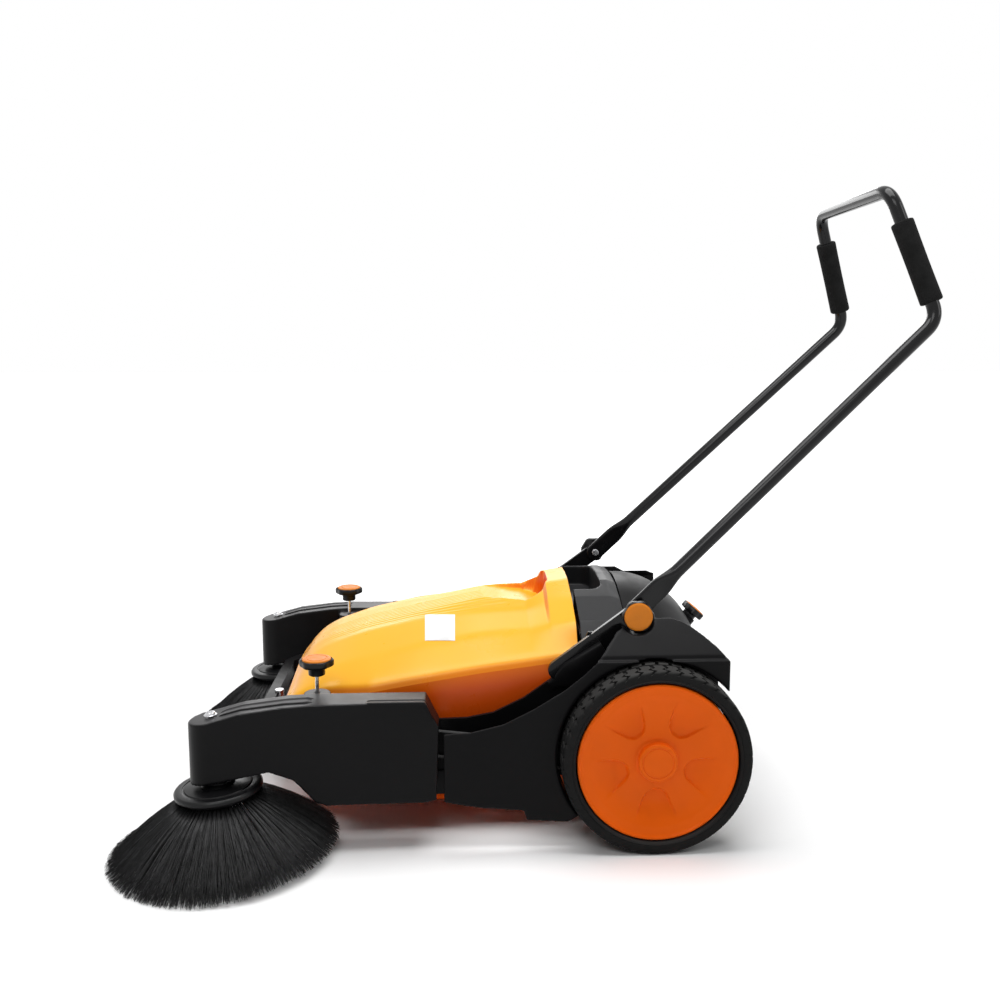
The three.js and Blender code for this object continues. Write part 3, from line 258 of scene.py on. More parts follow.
def mouldedLook(name, color, settings):
    # moulded plastic: fine grain, slight clouding of the colour, dull patches and paler edges, partly wear
    # and partly a painted highlight; where set, a painted sheen on upward faces and painted shade on steep
    # faces
    look, tree, shader, place = newLook(name)
    grain = noiseOn(tree, place, settings["grainSize"], 3)
    cloud = noiseOn(tree, place, settings["cloudSize"], 3)
    dull = noiseOn(tree, place, settings["dullSize"], 6, 0.6)
    darker = tuple(c * settings["darker"] for c in color)
    paint = blendColors(tree, spread(tree, cloud, 0, 1), darker, color)
    edge = tree.nodes.new("ShaderNodeNewGeometry")
    normalParts = tree.nodes.new("ShaderNodeSeparateXYZ")
    tree.links.new(edge.outputs["Normal"], normalParts.inputs[0])
    level = normalParts.outputs["Z"]
    # paler edges: partly wear, partly a painted highlight along the edges
    wornAndLitEdge = spread(tree, edge.outputs["Pointiness"], 0, settings["edgeWearAndHighlight"], 0.52, 0.6)
    paler = tuple(min(1, c * 1.25 + 0.03) for c in color)
    finish = blendColors(tree, wornAndLitEdge, paint, paler)
    if "paintedTopSheen" in settings:
        # painted sheen: faces that point up are painted paler, standing in for the light they catch from
        # above
        finish = blendColors(tree, spread(tree, level, 0, 1, 0.5, 0.97), finish, settings["paintedTopSheen"])
    if "paintedSideShade" in settings:
        # painted shade: steep faces are painted a deeper, redder tone, standing in for the shade that falls
        # on the sides
        finish = blendColors(tree, spread(tree, level, 0, 1, 0.05, 0.8), settings["paintedSideShade"], finish)
    tree.links.new(finish, shader.inputs["Base Color"])
    rough = settings["roughness"]
    tree.links.new(spread(tree, dull, rough * 0.85, rough * 1.2), shader.inputs["Roughness"])
    shader.inputs["Specular IOR Level"].default_value = settings.get("specular", 0.5)
    shader.inputs["Coat Weight"].default_value = settings.get("coat", 0)
    shader.inputs["Coat Roughness"].default_value = 0.08
    bumpOn(tree, shader, [(grain, settings["grainDepth"]), (cloud, settings.get("waveDepth", 0.00002))])
    return look


# paintedTopSheen is a painted sheen on faces that point up; paintedSideShade is painted shade on steep
# faces
mouldings = {
    "hopper": {"grainSize": 0.0012, "grainDepth": 0.000006, "cloudSize": 0.15, "dullSize": 0.05,
               "darker": 0.95, "edgeWearAndHighlight": 0.3, "roughness": 0.3, "waveDepth": 0.00006,
               "specular": 0.22, "paintedSideShade": (0.72, 0.085, 0.002)},
    "disc": {"grainSize": 0.0016, "grainDepth": 0.00002, "cloudSize": 0.07, "dullSize": 0.03,
             "darker": 0.93, "edgeWearAndHighlight": 0.4, "roughness": 0.4, "specular": 0.1},
    "cap": {"grainSize": 0.0012, "grainDepth": 0.00001, "cloudSize": 0.02, "dullSize": 0.01,
            "darker": 0.9, "edgeWearAndHighlight": 0.3, "roughness": 0.45, "specular": 0.15},
    "black": {"grainSize": 0.0011, "grainDepth": 0.00003, "cloudSize": 0.09, "dullSize": 0.045,
              "darker": 0.8, "edgeWearAndHighlight": 0.25, "roughness": 0.36, "specular": 0.08,
              "paintedTopSheen": (0.007, 0.0068, 0.0072)},
    "arm": {"grainSize": 0.0011, "grainDepth": 0.00003, "cloudSize": 0.09, "dullSize": 0.045,
            "darker": 0.8, "edgeWearAndHighlight": 0.25, "roughness": 0.34, "specular": 0.1,
            "paintedTopSheen": (0.03, 0.029, 0.03)},
    "knob": {"grainSize": 0.0011, "grainDepth": 0.00002, "cloudSize": 0.03, "dullSize": 0.02,
             "darker": 0.8, "edgeWearAndHighlight": 0.2, "roughness": 0.33, "specular": 0.2},
    "collar": {"grainSize": 0.0011, "grainDepth": 0.00003, "cloudSize": 0.08, "dullSize": 0.04,
               "darker": 0.85, "edgeWearAndHighlight": 0.3, "roughness": 0.42, "specular": 0.15,
               "paintedTopSheen": (0.017, 0.017, 0.018)},
}

hopperPlastic = mouldedLook("hopperPlastic", (0.9, 0.43, 0.022), mouldings["hopper"])
discPlastic = mouldedLook("discPlastic", (0.8, 0.115, 0.002), mouldings["disc"])
knobCapPlastic = mouldedLook("knobCapPlastic", (0.66, 0.2, 0.016), mouldings["cap"])
blackMoulding = mouldedLook("blackMoulding", (0.0042, 0.0041, 0.0045), mouldings["black"])
armMoulding = mouldedLook("armMoulding", (0.0042, 0.0041, 0.0045), mouldings["arm"])
knobPlastic = mouldedLook("knobPlastic", (0.0045, 0.0045, 0.005), mouldings["knob"])
collarPlastic = mouldedLook("collarPlastic", (0.008, 0.0082, 0.0088), mouldings["collar"])
gearNylon = mouldedLook("gearNylon", (0.62, 0.58, 0.48), mouldings["cap"])


def glossTubePaint():
    look, tree, shader, place = newLook("glossTubePaint")
    orange = noiseOn(tree, place, 0.004, 2)
    scuff = noiseOn(tree, place, 0.03, 8, 0.7)
    shade = blendColors(tree, spread(tree, scuff, 0, 1, 0.55, 0.8), (0.004, 0.004, 0.0045),
                        (0.009, 0.009, 0.01))
    tree.links.new(shade, shader.inputs["Base Color"])
    tree.links.new(spread(tree, scuff, 0.14, 0.24), shader.inputs["Roughness"])
    shader.inputs["Specular IOR Level"].default_value = 0.15
    shader.inputs["Coat Weight"].default_value = 0.15
    shader.inputs["Coat Roughness"].default_value = 0.06
    bumpOn(tree, shader, [(orange, 0.00003)])
    return look


def tyreRubber():
    look, tree, shader, place = newLook("tyreRubber")
    dust = noiseOn(tree, place, 0.035, 6, 0.65)
    grain = noiseOn(tree, place, 0.0015, 3)
    skin = tree.nodes.new("ShaderNodeNewGeometry")
    parts = tree.nodes.new("ShaderNodeSeparateXYZ")
    tree.links.new(skin.outputs["Normal"], parts.inputs[0])
    rubber = blendColors(tree, spread(tree, dust, 0, 0.6, 0.45, 0.8), (0.0065, 0.0065, 0.0065),
                         (0.018, 0.0175, 0.017))
    # painted sheen: faces that point up are painted paler, standing in for the light on the tread tops
    tree.links.new(blendColors(tree, spread(tree, parts.outputs["Z"], 0, 1, 0.3, 0.9), rubber,
                               (0.035, 0.034, 0.033)),
                   shader.inputs["Base Color"])
    shader.inputs["Specular IOR Level"].default_value = 0.1
    tree.links.new(spread(tree, dust, 0.55, 0.8), shader.inputs["Roughness"])
    bumpOn(tree, shader, [(grain, 0.00005)])
    return look


def gripFoam():
    look, tree, shader, place = newLook("gripFoam")
    cells = tree.nodes.new("ShaderNodeTexVoronoi")
    cells.inputs["Scale"].default_value = 900
    tree.links.new(place.outputs["Object"], cells.inputs["Vector"])
    cloud = noiseOn(tree, place, 0.02, 4)
    tree.links.new(blendColors(tree, spread(tree, cloud, 0, 1), (0.006, 0.006, 0.006),
                               (0.011, 0.011, 0.011)),
                   shader.inputs["Base Color"])
    shader.inputs["Roughness"].default_value = 0.92
    shader.inputs["Specular IOR Level"].default_value = 0.1
    bumpOn(tree, shader, [(cells.outputs["Distance"], 0.0003), (cloud, 0.0004)])
    return look


def boltSteel():
    look, tree, shader, place = newLook("boltSteel")
    shader.inputs["Metallic"].default_value = 1
    smear = noiseOn(tree, place, 0.004, 6, 0.6)
    tree.links.new(blendColors(tree, spread(tree, smear, 0, 1), (0.5, 0.5, 0.51), (0.68, 0.68, 0.7)),
                   shader.inputs["Base Color"])
    tree.links.new(spread(tree, smear, 0.2, 0.38), shader.inputs["Roughness"])
    bumpOn(tree, shader, [(smear, 0.00002)])
    return look


def bristleNylon():
    look, tree, shader, place = newLook("bristleNylon")
    tone = noiseOn(tree, place, 0.006, 3)
    tree.links.new(blendColors(tree, spread(tree, tone, 0, 1), (0.005, 0.005, 0.0055),
                               (0.026, 0.026, 0.027)),
                   shader.inputs["Base Color"])
    shader.inputs["Roughness"].default_value = 0.5
    shader.inputs["Specular IOR Level"].default_value = 0.35
    bumpOn(tree, shader, [(tone, 0.00005)])
    return look


def plainRubber(name, color, roughness):
    look, tree, shader, place = newLook(name)
    grain = noiseOn(tree, place, 0.002, 4)
    cloud = noiseOn(tree, place, 0.04, 4)
    tree.links.new(blendColors(tree, spread(tree, cloud, 0, 1), tuple(c * 0.75 for c in color), color),
                   shader.inputs["Base Color"])
    tree.links.new(spread(tree, cloud, roughness * 0.9, roughness), shader.inputs["Roughness"])
    bumpOn(tree, shader, [(grain, 0.00006)])
    return look


tubePaint = glossTubePaint()
tyreLook = tyreRubber()
foamLook = gripFoam()
steelLook = boltSteel()
bristleLook = bristleNylon()
beltRubber = plainRubber("beltRubber", (0.03, 0.03, 0.03), 0.7)
flapRubber = plainRubber("flapRubber", (0.02, 0.02, 0.02), 0.8)
filterFelt = plainRubber("filterFelt", (0.55, 0.56, 0.53), 0.95)
blankLabel = plainRubber("blankLabel", (0.86, 0.86, 0.85), 0.45)

print("materials made")

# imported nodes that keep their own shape: softened edges and a finish

nodeFinish = {
    "chassis_frame": (blackMoulding, 0.9), "rear_dust_flap": (flapRubber, 0.6),
    "dust_filter": (filterFelt, 0.5), "ring_gear": (gearNylon, 0.3), "idler_gear": (gearNylon, 0.3),
    "roller_gear": (gearNylon, 0.3), "roller_core": (collarPlastic, 0.4),
    "roller_carrier": (steelLook, 0.5), "castor_fork": (steelLook, 0.7),
    "castor_wheel": (tyreLook, 1.5),
}
sideFinish = {
    "stub_axle": (steelLook, 0.5), "roller_belt": (beltRubber, 0.2), "brush_belt": (beltRubber, 0.2),
    "jackshaft": (steelLook, 0.4), "brush_spindle": (steelLook, 0.4), "handle_bracket": (tubePaint, 1.2),
    "clamp_bolt": (steelLook, 0.4), "height_spindle": (steelLook, 0.2),
}


def finishNode(name, look, edge):
    node = nodes[name]
    mesh = node.data
    mesh.materials.clear()
    mesh.materials.append(look)
    if "custom_normal" in mesh.attributes:
        mesh.attributes.remove(mesh.attributes["custom_normal"])
    mesh.shade_smooth()
    weld = node.modifiers.new("weld", "WELD")
    weld.merge_threshold = 0.00001
    bevel = node.modifiers.new("softEdges", "BEVEL")
    bevel.width = edge / 1000
    bevel.segments = 2
    bevel.limit_method = "ANGLE"
    bevel.angle_limit = math.radians(32)
    bevel.harden_normals = True
    node.modifiers.new("flats", "WEIGHTED_NORMAL").keep_sharp = True


for name, (look, edge) in nodeFinish.items():
    finishNode(name, look, edge)
for side in ("left", "right"):
    for name, (look, edge) in sideFinish.items():
        finishNode(side + "_" + name, look, edge)
print("packed nodes finished")

# moulded shells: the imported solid, remeshed finely and eased so that its edges are round

shells = {
    "arm": {"voxel": 0.0014, "passes": 14},
    "guard": {"voxel": 0.0016, "passes": 12},
    "cover": {"voxel": 0.0016, "passes": 10},
}


def roundedShell(name, node, settings, look, body):
    shell = bpy.data.objects.new(name, nodes[node].data.copy())
    scene.collection.objects.link(shell)
    shell.modifiers.new("weld", "WELD").merge_threshold = 0.00001
    remesh = shell.modifiers.new("remesh", "REMESH")
    remesh.mode = "VOXEL"
    remesh.voxel_size = settings["voxel"]
    ease = shell.modifiers.new("ease", "SMOOTH")
    ease.factor = 0.5
    ease.iterations = settings["passes"]
    thin = shell.modifiers.new("thin", "DECIMATE")
    thin.decimate_type = "COLLAPSE"
    thin.ratio = 0.3
    graph = bpy.context.evaluated_depsgraph_get()
    made = bpy.data.meshes.new_from_object(shell.evaluated_get(graph))
    shell.modifiers.clear()
    shell.data = made
    return settle(shell, look, body, [node], 80)


for side in ("left", "right"):
    roundedShell(side + "ArmShell", side + "_arm_housing", shells["arm"], armMoulding, side + "_arm")
    roundedShell(side + "GuardShell", side + "_side_guard", shells["guard"], blackMoulding, "chassis")
roundedShell("collarShell", "filter_housing", shells["cover"], collarPlastic, "chassis")
print("moulded shells made")

# rear cover, a smooth sheet over the roller that falls away to both sides

coverShape = {
    "profile": [(22, 360), (0, 360), (-20, 356), (-43, 348), (-66, 334), (-90, 315), (-106, 294),
                (-113, 240),
                (-115, 160), (-115, 90)],
    "drop": [(0, 0), (60, 6), (100, 21), (225, 76)], "slopeFoot": 200, "top": 360, "wall": 3,
              "round": 16,
    "bossRadius": 0.015, "bossLong": 0.032,
}


def coverPath(inwards):
    line = roundPath([(x, z, 0) for x, z in coverShape["profile"]], coverShape["round"], 5)
    path = []
    for i, p in enumerate(line):
        way = (line[min(i + 1, len(line) - 1)] - line[max(i - 1, 0)]).normalized()
        path.append((p.x - way.y * inwards, p.y + way.x * inwards))
    return path


def coverRing(y, shrink):
    c = coverShape
    across = abs(y) * 1000
    drop = sum(between(c["drop"], abs(across + k)) for k in (-24, -16, -8, 0, 8, 16, 24)) / 7
    drop -= sum(between(c["drop"], abs(k)) for k in (-24, -16, -8, 0, 8, 16, 24)) / 7 * max(0,
                                                                                            1 - across / 60)
    ring = []
    for x, z in coverPath(shrink) + coverPath(c["wall"] - shrink)[::-1]:
        share = max(0, z - c["slopeFoot"]) / (c["top"] - c["slopeFoot"])
        ring.append(at(x / 1000, y, (z - share * drop) / 1000))
    return ring


def faceOutwards(mesh):
    sheet = bmesh.new()
    sheet.from_mesh(mesh)
    bmesh.ops.recalc_face_normals(sheet, faces=sheet.faces)
    sheet.to_mesh(mesh)
    sheet.free()


def rearCoverBody():
    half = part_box("rear_cover")[1].y
    count = 56
    stations = [(-half, 0.9), (-half + 0.0009, 0)]
    stations += [(-half + 2 * half * k / count, 0) for k in range(1, count)]
    stations += [(half - 0.0009, 0), (half, 0.9)]
    points, faces = bridge([coverRing(y, shrink) for y, shrink in stations])
    cover = makePiece("rearCoverBody", points, faces, blackMoulding, "chassis",
                      ["rear_cover"], 40)
    faceOutwards(cover.data)
    joint = jointNamed("roller_height_knob_turn")
    r, long = coverShape["bossRadius"], coverShape["bossLong"]
    profile = [(0.0046, -0.004), (r + 0.006, -0.004), (r + 0.006, 0.012), (r + 0.0026, 0.0146),
               (r + 0.0009, 0.018),
               (r, 0.022), (r, long - 0.0008), (r - 0.0008, long), (0.0046, long)]
    turnedPiece("rearBoss", profile, 72, facing(joint["axis"], Vector(joint["pos_m"])), blackMoulding,
                "chassis",
                mirrored=True)


rearCoverBody()
print("rear cover made")

# small mouldings laid on the shells: a rib on each arm, skirts over the hinges, bracket sockets

ribs = {"front": {"from": 0.515, "to": 0.662, "half": 0.0125, "rise": 0.0032, "out": 0.0},
        "rear": {"from": 0.338, "to": 0.44, "half": 0.0085, "rise": 0.0026, "out": 0.012}}


def topOf(shell, x, y):
    # height of the shell's skin under a place
    hit, spot = shell.ray_cast(Vector((x, y, 0.6)), Vector((0, 0, -1)))[:2]
    return spot.z if hit else None


def armRib(side, sign, which):
    e = ribs[which]
    shell = bpy.data.objects[side + "ArmShell"]
    spindle = jointNamed(side + "_brush_spin")["pos_m"]
    rings = []
    count = 24
    for i in range(count + 1):
        t = i / count
        x = e["from"] + (e["to"] - e["from"]) * t
        spot = at(x, spindle[1] + sign * e["out"], 0)
        top = topOf(shell, spot.x, spot.y)
        ends = softStep(0, 0.08, t) * (1 - softStep(0.94, 1, t))
        rise = e["rise"] * ends - 0.001
        half = e["half"] * (0.8 + 0.2 * ends)
        ring = []
        for y, z in ((-half, -0.004), (half, -0.004), (half, rise - 0.0016),
                     (half - 0.0007, rise - 0.0005),
                     (half - 0.002, rise), (half - 0.005, rise), (half - 0.006, rise - 0.0009),
                     (-half + 0.006, rise - 0.0009),
                     (-half + 0.005, rise), (-half + 0.002, rise), (-half + 0.0007, rise - 0.0005),
                     (-half, rise - 0.0016)):
            ring.append(Vector((spot.x, spot.y + y, top + z)))
        rings.append(ring)
    points, faces = bridge(rings)
    faces = [tuple(reversed(face)) for face in faces]
    return makePiece(side + which.capitalize() + "Rib", points, faces, armMoulding, side + "_arm",
                     (), 50)


def hingeSkirt(side, sign):
    low, high = at(0.296, 0.2432, 0.062), at(0.346, 0.246, 0.1)
    corners = [(low.x, low.z), (high.x, low.z), (high.x, high.z), (low.x, high.z)]
    outline = roundPath([(x, z, 0) for x, z in corners], 0.006, 4, True)
    rings = [[Vector((p.x, y * sign, p.y)) for p in outline] for y in (low.y, high.y)]
    points, faces = bridge(rings)
    if sign < 0:
        faces = [tuple(reversed(face)) for face in faces]
    return makePiece(side + "HingeSkirt", points, faces, blackMoulding, "chassis", (), 30)


socketShape = {"front": (0.156, 0.238), "rear": (0.068, 0.292), "inner": 0.2435, "outer": 0.2615,
               "half": 0.0205, "round": 0.004}


def bracketSocket(side, sign):
    # the swelling of the guard's top ledge that takes the foot of the handle bracket
    s = socketShape
    front, rear = (at(x, 0, z) for x, z in (s["front"], s["rear"]))
    way = (rear - front).normalized()
    up = Vector((-way.z, 0, way.x))
    if up.z < 0:
        up = -up
    rings = []
    count = 16
    for i in range(count + 1):
        t = i / count
        spot = front + (rear - front) * t
        half = s["half"] * (0.35 + 0.65 * softStep(0, 0.4, t))
        outer = s["inner"] + (s["outer"] - s["inner"]) * (0.3 + 0.7 * softStep(0, 0.6, t))
        corners = [(s["inner"], -half), (outer, -half), (outer, half), (s["inner"], half)]
        ring = roundPath([(y, z, 0) for y, z in corners], s["round"], 4, True)
        rings.append([Vector((spot.x, 0, spot.z)) + up * p.y + Vector((0, p.x * sign, 0)) for p in ring])
    points, faces = bridge(rings)
    if sign < 0:
        faces = [tuple(reversed(face)) for face in faces]
    return makePiece(side + "BracketSocket", points, faces, blackMoulding, "chassis", (), 40)


for side, sign in (("left", 1), ("right", -1)):
    armRib(side, sign, "front")
    armRib(side, sign, "rear")
    hingeSkirt(side, sign)
    bracketSocket(side, sign)
print("ribs and skirts made")

# wheels

tyreShape = {"pitches": 44, "groove": 0.0038, "shoulder": 0.0026, "zigzag": 0.55}
discShape = {"rimRadius": 0.122, "lip": 0.0045, "dish": 0.0115, "petalFrom": 0.046, "petalTo": 0.103,
             "petalDepth": 0.0055, "sag": 0.003, "petalNarrow": 0.011, "petalWide": 0.036, "petals": 5,
             "turn": 54}


def treadedTyre(side, sign):
    low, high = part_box(side + "_tyre")
    width = high.y - low.y
    half = width / 2
    radius = (high.z - low.z) / 2
    inner = discShape["rimRadius"] + 0.0003
    # across the tyre: (radius, place across, tread share)
    across = [(inner, 0.0), (inner + 0.003, half - 0.0025), (inner + 0.005, half - 0.0008),
              (radius - 0.0165, half - 0.0002), (radius - 0.0150, half - 0.0012),
              (radius - 0.0135, half - 0.0003),
              (radius - 0.0075, half - 0.0003), (radius - 0.0046, half - 0.0009),
              (radius - 0.0026, half - 0.0022),
              (radius - 0.0011, half - 0.005), (radius - 0.0003, half - 0.0095), (radius, half - 0.016),
              (radius, 0.0022), (radius, 0.0008)]
    shares = [0, 0, 0, 0, 0, 0, 0, 0.5, 1, 1, 1, 1, 1, 2]
    row = [(r, y, s) for (r, y), s in zip(across, shares)]
    profile = row + [(r, -y, s) for r, y, s in reversed(row[1:])]
    columns = [(0.0, 0), (0.035, 1), (0.25, 1), (0.285, 0), (0.62, 0)]
    pitch = 2 * math.pi / tyreShape["pitches"]
    rings = []
    for count in range(tyreShape["pitches"]):
        for share, deep in columns:
            ring = []
            for r, y, tread in profile:
                across01 = abs(y) / half
                skew = tyreShape["zigzag"] * pitch * (abs((across01 * 2.4) % 1 - 0.5) * 2)
                depth = tyreShape["groove"] * deep * min(1, tread)
                if tread == 2:
                    depth = tyreShape["groove"]
                angle = (pitch * (count + share) + (skew if tread else 0)
                         + (pitch / 2 if y < 0 and tread else 0))
                if not tread:
                    angle = pitch * (count + share)
                reach = r - depth
                ring.append(Vector((reach * math.cos(angle), reach * math.sin(angle), y)))
            rings.append(ring)
    place = outward(Vector((axle.x, sign * abs((low.y + high.y) / 2), axle.z)), sign)
    points, faces = bridge(rings, closed=True)
    return makePiece(side + "TreadedTyre", [place @ p for p in points], faces, tyreLook, side + "_wheel",
                     [side + "_tyre"], 40)


def petalShare(radius, angle):
    # 1 inside a petal's hollow, 0 on the web between
    d = discShape
    step = 2 * math.pi / d["petals"]
    off = (angle - math.radians(d["turn"]) + step / 2) % step - step / 2
    sideways = abs(off) * radius
    along = (radius - d["petalFrom"]) / (d["petalTo"] - d["petalFrom"])
    if along < -0.2 or along > 1.2:
        return 0
    wide = d["petalNarrow"] + (d["petalWide"] - d["petalNarrow"]) * min(1, max(0, along)) ** 0.8
    ends = softStep(-0.04, 0.06, along) * (1 - softStep(0.94, 1.03, along))
    roundEnd = wide * math.sqrt(max(0.0, 1 - max(0, 0.22 - along) ** 2 / 0.07))
    fade = 1 - softStep(0.25, 1.0, along)
    return ends * fade * (1 - softStep(roundEnd - 0.003, roundEnd, sideways))


def petalDisc(side, sign):
    low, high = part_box(side + "_wheel_disc")
    depth = high.y - low.y
    d = discShape
    rim = d["rimRadius"]
    web = depth - d["dish"]
    bore = 0.0084
    face = []
    steps = 66
    for i in range(steps + 1):
        r = 0.0315 + (0.1155 - 0.0315) * i / steps
        bowl = max(0, (r - 0.045) / (0.1155 - 0.045))
        sag = d["sag"] * math.sin(math.pi * min(1, max(0, (r - 0.036) / 0.068)))
        face.append((r, web + (depth - 0.0026 - web) * bowl ** 2.3 - sag, 1))
    profile = [(bore, 0.0), (0.026, 0.0), (0.026, depth - 0.025), (rim - 0.014, depth - 0.027),
               (rim - 0.008, 0.0),
               (rim - 0.001, 0.0), (rim, 0.001), (rim, depth - 0.0015), (rim - 0.0012, depth - 0.0003),
               (rim - 0.0028, depth), (rim - d["lip"], depth - 0.0010),
               (rim - d["lip"] - 0.001, depth - 0.0020)] + list(reversed(face)) + \
              [(0.0295, web + 0.0012), (0.029, depth - 0.0062), (bore, depth - 0.0062)]

    def shapeAt(radius, height, angle, share):
        return radius, height - d["petalDepth"] * petalShare(radius, angle), 0

    place = outward(Vector((axle.x, sign * abs(low.y if sign > 0 else high.y), axle.z)), sign)
    return turnedPiece(side + "PetalDisc", profile, 300, place, discPlastic, side + "_wheel",
                       [side + "_wheel_disc"], shapeAt)


def domedHubCap(side, sign):
    low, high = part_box(side + "_hub_cap")
    radius = (high.x - low.x) / 2
    thick = high.y - low.y
    profile = [(0.0001, 0.0), (radius - 0.0008, 0.0), (radius, 0.0006), (radius, thick - 0.0022),
               (radius - 0.0006, thick - 0.0010), (radius - 0.0020, thick - 0.0003),
               (radius - 0.0036, thick),
               (radius - 0.0060, thick - 0.0002), (radius - 0.0064, thick - 0.0010),
               (radius - 0.0072, thick - 0.0010),
               (radius - 0.0076, thick - 0.0003), (0.010, thick), (0.0001, thick)]
    place = outward(Vector((axle.x, sign * abs(low.y if sign > 0 else high.y), axle.z)), sign)
    return turnedPiece(side + "DomedHubCap", profile, 96, place, discPlastic, side + "_wheel",
                       [side + "_hub_cap"])


for side, sign in (("left", 1), ("right", -1)):
    treadedTyre(side, sign)
    petalDisc(side, sign)
    domedHubCap(side, sign)
print("wheels made")

# side brushes

brushShape = {"strands": 4224, "thick": 0.0005, "plateRadius": 0.066, "tipRadius": 0.1745,
              "plateDrop": 0.1113, "bow": 0.05}


def spindleMatrix(side):
    joint = jointNamed(side + "_brush_spin")
    axis = Vector(joint["axis"])
    if axis.z < 0:
        axis = -axis
    place = Vector(joint["pos_m"])
    lean = math.atan2(axis.x, axis.z)
    top = place + axis * ((0.215 - place.z) / axis.z)
    return Matrix.Translation(top) @ Matrix.Rotation(lean, 4, "Y")


def addStrand(points, faces, path, thick):
    # a thin three-sided strand along a path, pointed at its end
    start = len(points)
    for i, p in enumerate(path):
        way = (path[min(i + 1, len(path) - 1)] - path[max(i - 1, 0)]).normalized()
        side = way.cross(Vector((0.3, 0.2, 0.93))).normalized()
        other = way.cross(side)
        width = thick * (1 - 0.35 * i / (len(path) - 1))
        for k in range(3):
            a = 2 * math.pi * k / 3
            points.append(p + side * (width * math.cos(a)) + other * (width * math.sin(a)))
    for i in range(len(path) - 1):
        a = start + 3 * i
        for k in range(3):
            faces.append((a + k, a + (k + 1) % 3, a + 3 + (k + 1) % 3, a + 3 + k))
    faces.append((start + 2, start + 1, start))
    end = start + 3 * (len(path) - 1)
    faces.append((end, end + 1, end + 2))


def strandBrush(side):
    s = brushShape
    matrix = spindleMatrix(side)
    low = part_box(side + "_brush_bristles")[0]
    points, faces = [], []
    root = -s["plateDrop"] - 0.0135
    tip = -0.2141
    floor = low.z
    for i in range(s["strands"]):
        tuft = i % 64
        ring = (i // 64) % 3
        angle = 2 * math.pi * (tuft + ring * 0.33) / 64 + random.uniform(-0.028, 0.028)
        rootRadius = (0.0555, 0.0500, 0.0445)[ring] + random.uniform(-0.0016, 0.0016)
        most = (1.0, 0.985, 0.95)[ring]
        least = (0.955, 0.9, 0.8)[ring]
        reach = s["tipRadius"] * random.uniform(least, most)
        drift = random.uniform(-0.05, 0.05)
        end = tip + random.uniform(0.0008, 0.0075)
        path = []
        for k in range(6):
            t = k / 5
            radius = rootRadius + (reach - rootRadius) * t
            height = (root + (end - root) * t
                      + s["bow"] * 0.11 * math.sin(math.pi * t) * (reach / s["tipRadius"]) ** 2)
            turn = angle + drift * t * t
            path.append(matrix @ Vector((radius * math.cos(turn), radius * math.sin(turn), height)))
        if path[-1].z < floor + 0.0008:
            path[-1].z = floor + 0.0008
        addStrand(points, faces, path, s["thick"])
    return makePiece(side + "StrandBrush", points, faces, bristleLook, side + "_brush",
                     [side + "_brush_bristles"], 180)


def steppedPlate(side):
    d = -brushShape["plateDrop"]
    r = brushShape["plateRadius"]
    corners = [(0.0001, d + 0.0079), (0.0215, d + 0.0079), (0.0255, d + 0.004), (r - 0.016, d + 0.0030),
               (r - 0.0155, d + 0.0012), (r - 0.0125, d + 0.0012), (r - 0.0120, d + 0.0028),
               (r - 0.0025, d + 0.0018), (r, d - 0.001), (r, d - 0.0058), (r - 0.0022, d - 0.0072),
               (r - 0.0085, d - 0.0078), (r - 0.0092, d - 0.0090), (r - 0.0100, d - 0.0132),
               (r - 0.0115, d - 0.0139), (0.0001, d - 0.0139)]
    profile = [(p.x, p.y) for p in roundPath([(a, b, 0) for a, b in corners], 0.0008, 2)]
    return turnedPiece(side + "SteppedPlate", profile[::-1], 128, spindleMatrix(side), knobPlastic,
                       side + "_brush", [side + "_brush_plate"], mirrored=True)


def domedBolt(side):
    profile = [(0.0001, -0.0096), (0.004, -0.0096), (0.004, 0.0003), (0.0098, 0.0003), (0.0098, 0.0017),
               (0.0092, 0.0021), (0.0076, 0.0022), (0.0075, 0.0040), (0.0066, 0.0054), (0.0044, 0.0060),
               (0.0040, 0.0044), (0.0001, 0.0044)]
    return turnedPiece(side + "DomedBolt", profile, 48, spindleMatrix(side), steelLook, side + "_brush",
                       [side + "_spindle_bolt"])


for side in ("left", "right"):
    strandBrush(side)
    steppedPlate(side)
    domedBolt(side)
print("side brushes made")

# roller brush

rollerShape = {"rows": 16, "perRow": 120, "tip": 0.1065, "root": 0.0306, "half": 0.2165, "thick": 0.0008}


def rollerStrands():
    s = rollerShape
    middleOf = middle("roller_core")
    points, faces = [], []
    for row in range(s["rows"]):
        for i in range(s["perRow"]):
            y = -s["half"] + 2 * s["half"] * (i + 0.5) / s["perRow"] + random.uniform(-0.0012, 0.0012)
            slant = 0.11 * abs(y) / s["half"]
            angle = 2 * math.pi * row / s["rows"] + slant + random.uniform(-0.035, 0.035)
            tip = s["tip"] - random.uniform(0, 0.003)
            path = []
            for k in range(3):
                radius = s["root"] + (tip - s["root"]) * k / 2
                turn = angle + random.uniform(-0.012, 0.012) * k
                path.append(Vector((middleOf.x + radius * math.sin(turn),
                                    y + random.uniform(-0.001, 0.001) * k,
                                    middleOf.z + radius * math.cos(turn))))
            addStrand(points, faces, path, s["thick"])
    return makePiece("rollerStrands", points, faces, bristleLook, "roller",
                     ["roller_bristles"], 180)


rollerStrands()
print("roller made")

# handle

handleShape = {"lower": 0.661, "lowerAngle": 43.6, "upper": 0.214, "upperLean": 19, "bendHalf": 0.2,
               "topHalf": 0.158, "tube": 0.0109, "flatWide": 0.0165, "flatThick": 0.004,
               "bendReach": 0.026, "cornerReach": 0.032, "gripFrom": 0.028, "gripLong": 0.136}


